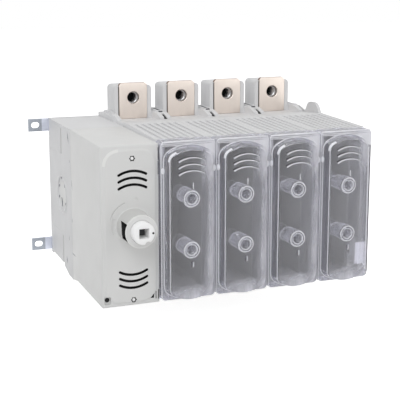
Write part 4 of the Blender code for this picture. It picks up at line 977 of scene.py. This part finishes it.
def panel_shape():
    """The drafted panel, with a painted highlight on its upper left corner."""
    draft = PANEL_DRAFT
    panel = stack([
        (panel_ring(-PANEL_SEAT), COVER_BOX_FRONT_Y + MECHANISM_COVER_WALL / 2, 0),
        (panel_ring(-PANEL_SEAT), COVER_BOX_FRONT_Y, 0),
        (panel_ring(0.0), COVER_BOX_FRONT_Y - 0.0001, 0),
        (panel_ring(draft * 0.8), PANEL_Y + 0.00018, 0),
        (panel_ring(draft), PANEL_Y + 0.00004, 0),
        (panel_ring(draft + PANEL_EASE), PANEL_Y, 0),
    ], "y")
    for face in panel.polygons:
        x, y, z = face.center
        lit = x < MECHANISM_LEFT + LIT_CORNER[0] and z > PANEL_TOP - LIT_CORNER[1]
        if lit and y > PANEL_Y + 0.00001:
            face.material_index = LIGHT
    return panel


def collar_shape(axis):
    """The collar round the spindle: a short foot, a drafted side in painted shade and a rounded rim painted
    light as a highlight.
    """
    root = COVER_BOX_FRONT_Y + MECHANISM_COVER_WALL / 2
    radius = COLLAR_RADIUS
    slim = radius - COLLAR_DRAFT
    edge = COLLAR_EDGE
    return turned([
        (0.0, root), (radius + COLLAR_FOOT, root), (radius + COLLAR_FOOT, PANEL_Y),
        (radius + COLLAR_FOOT / 4, PANEL_Y - 0.0004), (radius, PANEL_Y - 0.001), (slim, COLLAR_Y + edge),
        (slim - 0.15 * edge, COLLAR_Y + 0.5 * edge), (radius - 0.5 * edge, COLLAR_Y + 0.15 * edge),
        (radius - edge, COLLAR_Y), (0.0, COLLAR_Y),
    ], axis, 72, (0, 0, 0, 0, SHADE, LIGHT, LIGHT, LIGHT, 0))


def panel_cuts(axis, through):
    """The bore and opening of the collar, the vents, the screw recesses and the panel's small features."""
    front = PANEL_Y - CUT
    right = MECHANISM_COVER_RIGHT
    bore = BOSS_RADIUS + CLEARANCE / 2
    wide = bore + 0.0003
    cuts = [
        turned([(0.0, COLLAR_Y - CUT), (wide, COLLAR_Y - CUT), (wide, COLLAR_Y), (bore, COLLAR_Y + 0.0003),
                (bore, through), (0.0, through)], axis, 72),
        painted(prism(COLLAR_OPENING, SPINDLE_X - COLLAR_RADIUS - CUT, SPINDLE_X - BOSS_RADIUS, "x"), BLACK),
    ]
    for groove in PANEL_GROOVES:
        cuts.append(prism(arc_band(axis, *groove, 29), front, PANEL_Y + PANEL_GROOVE_DEPTH, "y"))
    cuts.append(cylinder(DIMPLE_RADIUS, DIMPLE_CENTRE, front, PANEL_Y + DIMPLE_DEPTH, "y", 24))
    pocket = rounded(rectangle(*POCKET_X, *POCKET_Z), POCKET_CORNER)
    cuts.append(prism(pocket, front, PANEL_Y + POCKET_DEPTH, "y"))
    for x_range, depth, z_range in DARK_SLITS:
        cuts.append(painted(block(x_range, (front, PANEL_Y + depth), z_range), BLACK))
    cuts.append(painted(prism(DARK_WEDGE, front, PANEL_Y + DARK_WEDGE_DEPTH, "y"), BLACK))
    for width, depth, z_range, index in EDGE_NOTCHES:
        cuts.append(painted(block((right - width, right + CUT), (front, PANEL_Y + depth), z_range), index))
    # Vents painted black inside as shade
    for i in range(VENT_COUNT):
        down = i * VENT_PITCH
        for apex, turn in ((UPPER_VENT_TOP - down, 1), (-LOWER_VENT_TOP - down, -1)):
            centre = (SPINDLE_X, apex - turn * ARCH_MIDDLE)
            angles = (90 * turn + ARCH_ANGLE, 90 * turn - ARCH_ANGLE)
            band = arc_band(centre, ARCH_MIDDLE, VENT_WIDTH, *angles, 23)
            cuts.append(painted(prism(band, front, through, "y"), BLACK))
            for angle in angles:
                end = (centre[0] + ARCH_MIDDLE * cos(radians(angle)),
                       centre[1] + ARCH_MIDDLE * sin(radians(angle)))
                cuts.append(painted(cylinder(VENT_WIDTH / 2, end, front, through, "y", 16), BLACK))
    for z in SCREWS.values():
        recess = lobed(SCREW_RECESS_RADIUS, SCREW_LOBE, 6, (SPINDLE_X, z))
        cuts.append(painted(prism(recess, front, through, "y"), BLACK))
    return cuts


def mechanism_front_shape(slots):
    """The mechanism's front moulding: rounded box, drafted panel, collar, vents and small recesses."""
    left = MECHANISM_LEFT
    right = MECHANISM_COVER_RIGHT
    wall = MECHANISM_COVER_WALL
    outline = [
        (COVER_BOX_BACK_Y, MECHANISM_TOP),
        (COVER_BOX_FRONT_Y, MECHANISM_TOP),
        (COVER_BOX_FRONT_Y, -MECHANISM_COVER_BOTTOM),
        (COVER_BOX_BACK_Y - MECHANISM_COVER_TAPER, -MECHANISM_COVER_BOTTOM - MECHANISM_COVER_TAPER_RISE),
        (COVER_BOX_BACK_Y, -MECHANISM_BULGE),
    ]
    box = eased(prism(outline, left, right, "x"), BOX_EDGE, 4,
                lambda middle: 0.2 if middle.y > COVER_BOX_BACK_Y - 0.001 else 1.0)
    inside = block((left + wall, right - wall), (COVER_BOX_FRONT_Y + wall, COVER_BOX_BACK_Y + CUT),
                   (-MECHANISM_COVER_BOTTOM + wall, MECHANISM_TOP - wall))
    axis = (SPINDLE_X, SPINDLE_Z)
    joined = [panel_shape(), collar_shape(axis)]
    cuts = panel_cuts(axis, COVER_BOX_FRONT_Y + wall + CUT)
    return shaped(shaped(box, cut=[inside], slots=slots), joined, cuts, slots)


def make_mechanism_front():
    """Front moulding, its screws, black screens as painted shade behind the vents, and the spindle."""
    slots = ("front_moulding", "black", "front_light", "front_shade")
    put("mechanism_front", mechanism_front_shape(slots), node="mechanism_cover", smooth=25.0)
    behind = COVER_BOX_FRONT_Y + MECHANISM_COVER_WALL
    for name, z_range in VENT_SHADOW_SCREENS.items():
        screen = block((SPINDLE_X - VENT_SHADOW_HALF_WIDTH, SPINDLE_X + VENT_SHADOW_HALF_WIDTH),
                       (behind + 0.0005, behind + 0.0015), z_range)
        put(f"vent_shadow_screen_{name}", screen, "black")
    radius = SCREW_PIN_RADIUS
    for name, z in SCREWS.items():
        ring = cylinder(SCREW_FLOOR_RADIUS, (SPINDLE_X, z), PANEL_Y + 0.0008, PANEL_Y + 0.0018, "y", 24)
        put(f"screw_recess_{name}", ring, "black", node=f"cover_screw_{name}")
        pin = turned([
            (0.0, PANEL_Y + 0.0009), (radius, PANEL_Y + 0.0009), (radius, PANEL_Y + 0.0003),
            (radius - 0.0003, PANEL_Y + 0.0001), (0.0, PANEL_Y + 0.0001),
        ], (SPINDLE_X, z), 24)
        put(f"screw_pin_{name}", pin, "white_plastic")
    # Black disc in the corner pocket's hole, as painted shade
    hole = cylinder(POCKET_HOLE_RADIUS, POCKET_HOLE, PANEL_Y + POCKET_DEPTH - 0.0004,
                    PANEL_Y + POCKET_DEPTH - 0.0001, "y", 20)
    put("corner_recess_shadow", hole, "black")
    make_spindle()


def soft_edge(edge):
    """Steps of a rounded edge, as (inset, depth) from its front to its side."""
    return [(edge, 0.0), (0.5 * edge, 0.15 * edge), (0.15 * edge, 0.5 * edge), (0.0, edge)]


def make_spindle():
    """White operating spindle with a square socket, a dot and a scallop in its rim; its socket's floor is
    painted dark as shade.
    """
    boss_back = SPINDLE_Y + BOSS_LENGTH
    profile = [(0.0, SPINDLE_Y)]
    profile += [(BOSS_RADIUS - inset, SPINDLE_Y + depth) for inset, depth in soft_edge(BOSS_EDGE)]
    profile += [(BOSS_RADIUS, boss_back), (SHAFT_RADIUS, boss_back), (SHAFT_RADIUS, JOURNAL_FRONT_Y),
                (JOURNAL_RADIUS, JOURNAL_FRONT_Y), (JOURNAL_RADIUS, JOURNAL_END_Y), (0.0, JOURNAL_END_Y)]
    half = SOCKET_WIDTH / 2
    wide = half + SOCKET_EASE
    mouth = rounded(rectangle(-wide, wide, -wide, wide), 0.0008, 3)
    hole = rounded(rectangle(-half, half, -half, half), 0.0004, 3)
    socket = stack([
        (mouth, SPINDLE_Y - 0.0005, 0), (mouth, SPINDLE_Y, 0),
        (hole, SPINDLE_Y + 0.0006, 0), (hole, SPINDLE_Y + SOCKET_DEPTH, 0),
    ], "y", 0, 1)
    dot = cylinder(DOT_RADIUS, (DOT_OFFSET, 0.0), SPINDLE_Y - CUT, SPINDLE_Y + 0.002, "y", 20)
    angle = radians(NOTCH_ANGLE)
    notch_centre = (NOTCH_REACH * cos(angle), NOTCH_REACH * sin(angle))
    notch = cylinder(NOTCH_RADIUS, notch_centre, SPINDLE_Y - CUT, SPINDLE_Y + NOTCH_LENGTH, "y", 28)
    body = shaped(turned(profile, (0.0, 0.0), 72), cut=[socket, dot, notch],
                  slots=("white_plastic", "dark_insulator"))
    axis = (SPINDLE_X, 0.0, SPINDLE_Z)
    put("spindle_skin", body, None, "spindle", axis, "drive_spindle", 25.0)
    mark = cylinder(DOT_RADIUS - 0.0001, (DOT_OFFSET, 0.0), SPINDLE_Y + 0.0004, SPINDLE_Y + 0.0018, "y", 20)
    put("spindle_dot", mark, "black", "spindle", axis)
    # A thin black arc behind the collar opening, as painted shadow
    band = arc_band((SPINDLE_X, SPINDLE_Z), BOSS_RADIUS + 0.0001, 0.0001, *SHADOW_ARC_ANGLES, 29)
    shadow_arc = prism(band, COLLAR_Y + 0.0010, COLLAR_Y + 0.0010 + SHADOW_ARC_LENGTH, "y")
    put("spindle_shadow_arc", shadow_arc, "black")


def terminal_shape(slots):
    """One terminal bar: a pad with cut, rounded corners and an eased hole, over a plain bar; its side is bare
    copper darkened with painted shade.
    """
    half = TERMINAL_WIDTH / 2
    cut = TERMINAL_CHAMFER

    def pad_ring(inset):
        corners = [(-half + inset, TERMINAL_PAD_END), (half - inset, TERMINAL_PAD_END),
                   (half - inset, TERMINAL_TOP - cut), (half - cut, TERMINAL_TOP - inset),
                   (-half + cut, TERMINAL_TOP - inset), (-half + inset, TERMINAL_TOP - cut)]
        return corners[:2] + rounded(corners, TERMINAL_CORNER, 3)[8:]

    layers = [(pad_ring(0.0), TERMINAL_BACK_Y, 0)]
    for inset, depth in reversed(soft_edge(TERMINAL_EDGE)):
        layers.append((pad_ring(inset), TERMINAL_FRONT_Y + depth, 1 if inset == 0.0 else 0))
    bar = block((-half, half), (TERMINAL_FRONT_Y + TERMINAL_PAD_RISE, TERMINAL_BACK_Y),
                (TERMINAL_END, TERMINAL_PAD_END + cut))
    radius = TERMINAL_HOLE_RADIUS
    wide = radius + TERMINAL_HOLE_EASE
    hole = turned([
        (0.0, TERMINAL_FRONT_Y - CUT), (wide, TERMINAL_FRONT_Y - CUT), (wide, TERMINAL_FRONT_Y),
        (radius, TERMINAL_FRONT_Y + TERMINAL_HOLE_EASE), (radius, TERMINAL_BACK_Y + CUT),
        (0.0, TERMINAL_BACK_Y + CUT),
    ], (0.0, TERMINAL_HOLE_Z), 56)
    return shaped(stack(layers, "y"), [bar], [hole], slots)


def insert_shape():
    """Threaded insert behind a terminal hole."""
    outer = TERMINAL_HOLE_RADIUS - 0.0001
    front = TERMINAL_BACK_Y + 0.0002
    back = front + INSERT_LENGTH
    root = INSERT_BORE + INSERT_THREAD
    profile = [(outer, back), (outer, front), (root, front)]
    y = front + 0.0004
    while y + INSERT_PITCH < back:
        profile += [(INSERT_BORE, y + 0.0003), (INSERT_BORE, y + 0.0005), (root, y + 0.0012)]
        y += INSERT_PITCH
    profile.append((INSERT_BORE, back))
    return turned(profile, (0.0, TERMINAL_HOLE_Z), 48)


def mirrored_mesh(mesh):
    """The mesh turned over half way round Y, for the lower side."""
    made = mesh.copy()
    made.transform(Matrix.Rotation(pi, 4, "Y"))
    return made


def make_terminals():
    """Upper and lower terminal bars with a threaded insert behind each hole, and a black disc and a dark
    strip as painted shade.
    """
    half = TERMINAL_WIDTH / 2
    floor_y = TERMINAL_BACK_Y + INSERT_LENGTH + 0.0006
    pieces = {
        "terminal_skin": ("tinned_copper", 25.0,
                          terminal_shape(("tinned_copper", "copper_edge"))),
        "threaded_insert": ("zinc_insert", 20.0, insert_shape()),
        "insert_floor": ("black", 32.0, cylinder(INSERT_BORE + 0.0012, (0.0, TERMINAL_HOLE_Z), floor_y,
                                                 floor_y + 0.0006, "y")),
        "terminal_gap_shadow": ("gap_shadow", 32.0, block((-half - TERMINAL_GAP_WIDTH, -half), TERMINAL_GAP_Y,
                                                   TERMINAL_GAP_Z)),
    }
    for side in ("upper", "lower"):
        if side == "lower":
            pieces = {kind: (*looks, mirrored_mesh(mesh)) for kind, (*looks, mesh) in pieces.items()}
        for number in POLES:
            for kind, (finish, smooth, mesh) in pieces.items():
                node = f"terminal_{side}_{number}" if kind == "terminal_skin" else None
                put(f"{kind}_{side}_{number}", mesh, finish, place=pole_place(number), node=node,
                    smooth=smooth)


def left_bracket_shape():
    """A strap that thins out into its slotted foot, which is painted darker as shade."""
    outline = [(BRACKET_END, 0.0), (BRACKET_INNER, 0.0), (BRACKET_INNER, -BRACKET_THICKNESS),
               (BRACKET_BEND, -BRACKET_THICKNESS), (BRACKET_END, -BRACKET_FOOT_THICKNESS)]
    strap = prism(outline, -BRACKET_WIDTH / 2, BRACKET_WIDTH / 2, "z")

    def rim(middle):
        upright = abs(abs(middle.z) - BRACKET_WIDTH / 2) > 0.001
        return 1.0 if upright and middle.x < BRACKET_END + 0.001 else 0.15

    length, width, centre_x = BRACKET_SLOT
    reach = (length - width) / 2
    slot = []
    for centre, start in ((centre_x + reach, -90), (centre_x - reach, 90)):
        for i in range(13):
            angle = radians(start + 180 * i / 12)
            slot.append((centre + width / 2 * cos(angle), width / 2 * sin(angle)))
    mesh = shaped(eased(strap, BRACKET_EDGE, 3, rim), cut=[prism(slot, -BRACKET_THICKNESS - CUT, CUT, "y")])
    dress(mesh, "zinc_steel", "zinc_foot")
    for face in mesh.polygons:
        face.material_index = 1 if face.center.x < BRACKET_BEND else 0
    return mesh


def make_brackets():
    """Left brackets, dark strips in the joining clips and black fillers, as painted shade, in the slots
    between the poles.
    """
    bracket = left_bracket_shape()
    for side, z in (("upper", BRACKET_Z), ("lower", -BRACKET_Z)):
        put(f"left_bracket_{side}", bracket, place=(0.0, 0.0, z), node=f"bracket_left_{side}", smooth=20.0)
    strip = eased(block((-CLIP_WIDTH / 2, CLIP_WIDTH / 2),
                        (-CLIP_CENTRE - CLIP_LENGTH / 2, -CLIP_CENTRE + CLIP_LENGTH / 2),
                        (CLIP_TOP - CLIP_HEIGHT, CLIP_TOP)), 0.0005)
    under = mirrored_mesh(strip)
    filler = prism(SLOT_FILLER, -SLOT_FILLER_HALF_WIDTH, SLOT_FILLER_HALF_WIDTH, "x")
    for number in range(1, POLE_COUNT):
        place = pole_place(number + 0.5)
        put(f"joining_clip_upper_{number}", strip, "dark_steel", place=place)
        put(f"joining_clip_lower_{number}", under, "dark_steel", place=place)
        put(f"barrier_slot_floor_{number}", filler, "black", place=place)


def make_side_details():
    """Flush fillers in the left pockets with a groove of painted shade, and small marks of painted slit shade
    on the mechanism's left side.
    """
    low = MECHANISM_LEFT - 0.00005
    high = low + FILLER_DEPTH
    for side, z_range in POCKET_FILLERS.items():
        put(f"pocket_filler_{side}", block((low, high), FILLER_Y, z_range), "grey_moulding")
        groove = block((low + 0.0007, high), FILLER_GROOVE_Y, z_range)
        put(f"pocket_groove_shade_{side}", groove, "front_shade")
    disc = cylinder(SIDE_OPENING_RADIUS, (SIDE_OPENING_Y, SPINDLE_Z), MECHANISM_LEFT + 0.0005,
                    MECHANISM_LEFT + 0.0015, "x", 48)
    put("side_opening_disc", disc, "front_moulding")
    for number, (start, end, width) in enumerate(SIDE_SLIT_SHADES):
        start, end = Vector(start), Vector(end)
        along = end - start
        across = Vector((-along.y, along.x)).normalized() * width / 2
        middle = (start + end) / 2
        outline = (start, middle + across, end, middle - across)
        piece = prism(outline, MECHANISM_LEFT - 0.00004, MECHANISM_LEFT + 0.0007, "x")
        put(f"side_mark_{number}", piece, "side_mark")


def refine_mouldings():
    """The mouldings again with rounded edges, and the end wall's ear with rounded top corners."""
    grey = "grey_moulding"
    for kind, width in (("pole_base", 0.0005), ("fuse_chamber", 0.0004)):
        mesh = eased(node_mesh(f"{kind}_1"), width)
        dress(mesh, grey, "chamber_inside")
        # The chamber's inside walls get a darker grey as painted shade
        if kind == "fuse_chamber":
            for face in mesh.polygons:
                x, y, z = face.center
                inside = abs(x - FIRST_POLE_X) < CHAMBER_INNER_X and abs(z) < CHAMBER_INNER_Z
                face.material_index = 1 if inside and y > COVER_BACK_Y + 0.001 else 0
        for number in POLES:
            place = ((number - 1) * POLE_PITCH, 0.0, 0.0)
            put(f"{kind}_skin_{number}", mesh, place=place, node=f"{kind}_{number}")
    put("mechanism_base_skin", eased(node_mesh("mechanism_base"), 0.0012, 3), grey, node="mechanism_base")
    wall = node_mesh("end_wall")
    ear = [vert.co.x for vert in wall.vertices if vert.co.z > EAR_ROUND_Z]
    ear_middle = (min(ear) + max(ear)) / 2

    def ear_top(middle):
        return 1.0 if middle.z > EAR_ROUND_Z and abs(middle.x - ear_middle) < 0.0004 else 0.0

    wall = eased(eased(wall, EAR_RADIUS, 6, ear_top), 0.0005)
    put("end_wall_skin", wall, grey, node="end_wall")


def make_lamp(name, place, energy, size, tint):
    lamp = bpy.data.lights.new(name, "AREA")
    lamp.energy = energy
    lamp.color = tint
    lamp.shape = "RECTANGLE"
    lamp.size, lamp.size_y = size
    made = linked(name, lamp)
    made.location = place
    made.rotation_euler = (Vector(place) - LAMP_AIM).to_track_quat("Z", "Y").to_euler()


def make_camera():
    lens = bpy.data.cameras.new("camera")
    lens.lens = CAMERA_LENS
    lens.sensor_width = CAMERA_SENSOR
    lens.sensor_fit = "HORIZONTAL"
    lens.shift_y = CAMERA_SHIFT
    lens.clip_start = 0.01
    camera = linked("camera", lens)
    camera.location = CAMERA_PLACE
    level = cos(CAMERA_ELEVATION)
    back = Vector((sin(CAMERA_AZIMUTH) * level, -cos(CAMERA_AZIMUTH) * level, sin(CAMERA_ELEVATION)))
    camera.rotation_euler = back.to_track_quat("Z", "Y").to_euler()
    bpy.context.scene.camera = camera


def ray_white(tree):
    """1 for what the camera, gloss or clear plastic sees, and 0 for the light that falls on things."""
    path = add_node(tree, "LightPath")
    seen = path.outputs["Is Camera Ray"]
    for kind in ("Is Transmission Ray", "Is Glossy Ray"):
        seen = add_node(tree, "Math", {0: seen, 1: path.outputs[kind]}, operation="MAXIMUM").outputs[0]
    return seen


def mixed(tree, lit, shown):
    """What lights things and what is shown behind them, as one output."""
    return add_node(tree, "MixShader", {"Fac": ray_white(tree), 1: lit, 2: shown}).outputs[0]


def make_studio(low):
    """White floor that keeps a soft shadow, white surroundings and three soft lamps."""
    world = bpy.data.worlds.new("studio")
    world.use_nodes = True
    bpy.context.scene.world = world
    tree = world.node_tree
    tree.nodes.clear()
    plain, white = [add_node(tree, "Background", {"Color": PURE_WHITE, "Strength": strength}).outputs[0]
                    for strength in (AMBIENT, 1.0)]
    add_node(tree, "OutputWorld", {"Surface": mixed(tree, plain, white)})

    bm = bmesh.new()
    bmesh.ops.create_grid(bm, x_segments=1, y_segments=1, size=FLOOR_HALF_SIZE)
    floor = linked("floor", stored(bm, "floor"))
    floor.location = (0.0, 0.0, low)
    finish = Finish("floor", FLOOR_COLOUR, 0.9)
    finish.mottle(3.0, 0.004)
    tree = finish.tree
    plain = finish.shader.outputs[0]
    glow = add_node(tree, "Emission", {"Color": PURE_WHITE, "Strength": FLOOR_GLOW})
    both = add_node(tree, "AddShader", {0: plain, 1: glow.outputs[0]})
    shown = mixed(tree, plain, both.outputs[0])
    tree.links.new(shown, tree.nodes["Material Output"].inputs["Surface"])
    floor.data.materials.append(finish.material)

    for name, sizes in LAMPS.items():
        make_lamp(name, *sizes)


def main():
    make_camera()
    dress_nodes()
    refine_mouldings()
    make_covers()
    make_mechanism_front()
    make_terminals()
    make_brackets()
    make_side_details()
    make_studio(cad_box[0][2] - FLOOR_GAP)
    bpy.context.scene.view_settings.view_transform = "Standard"


main()
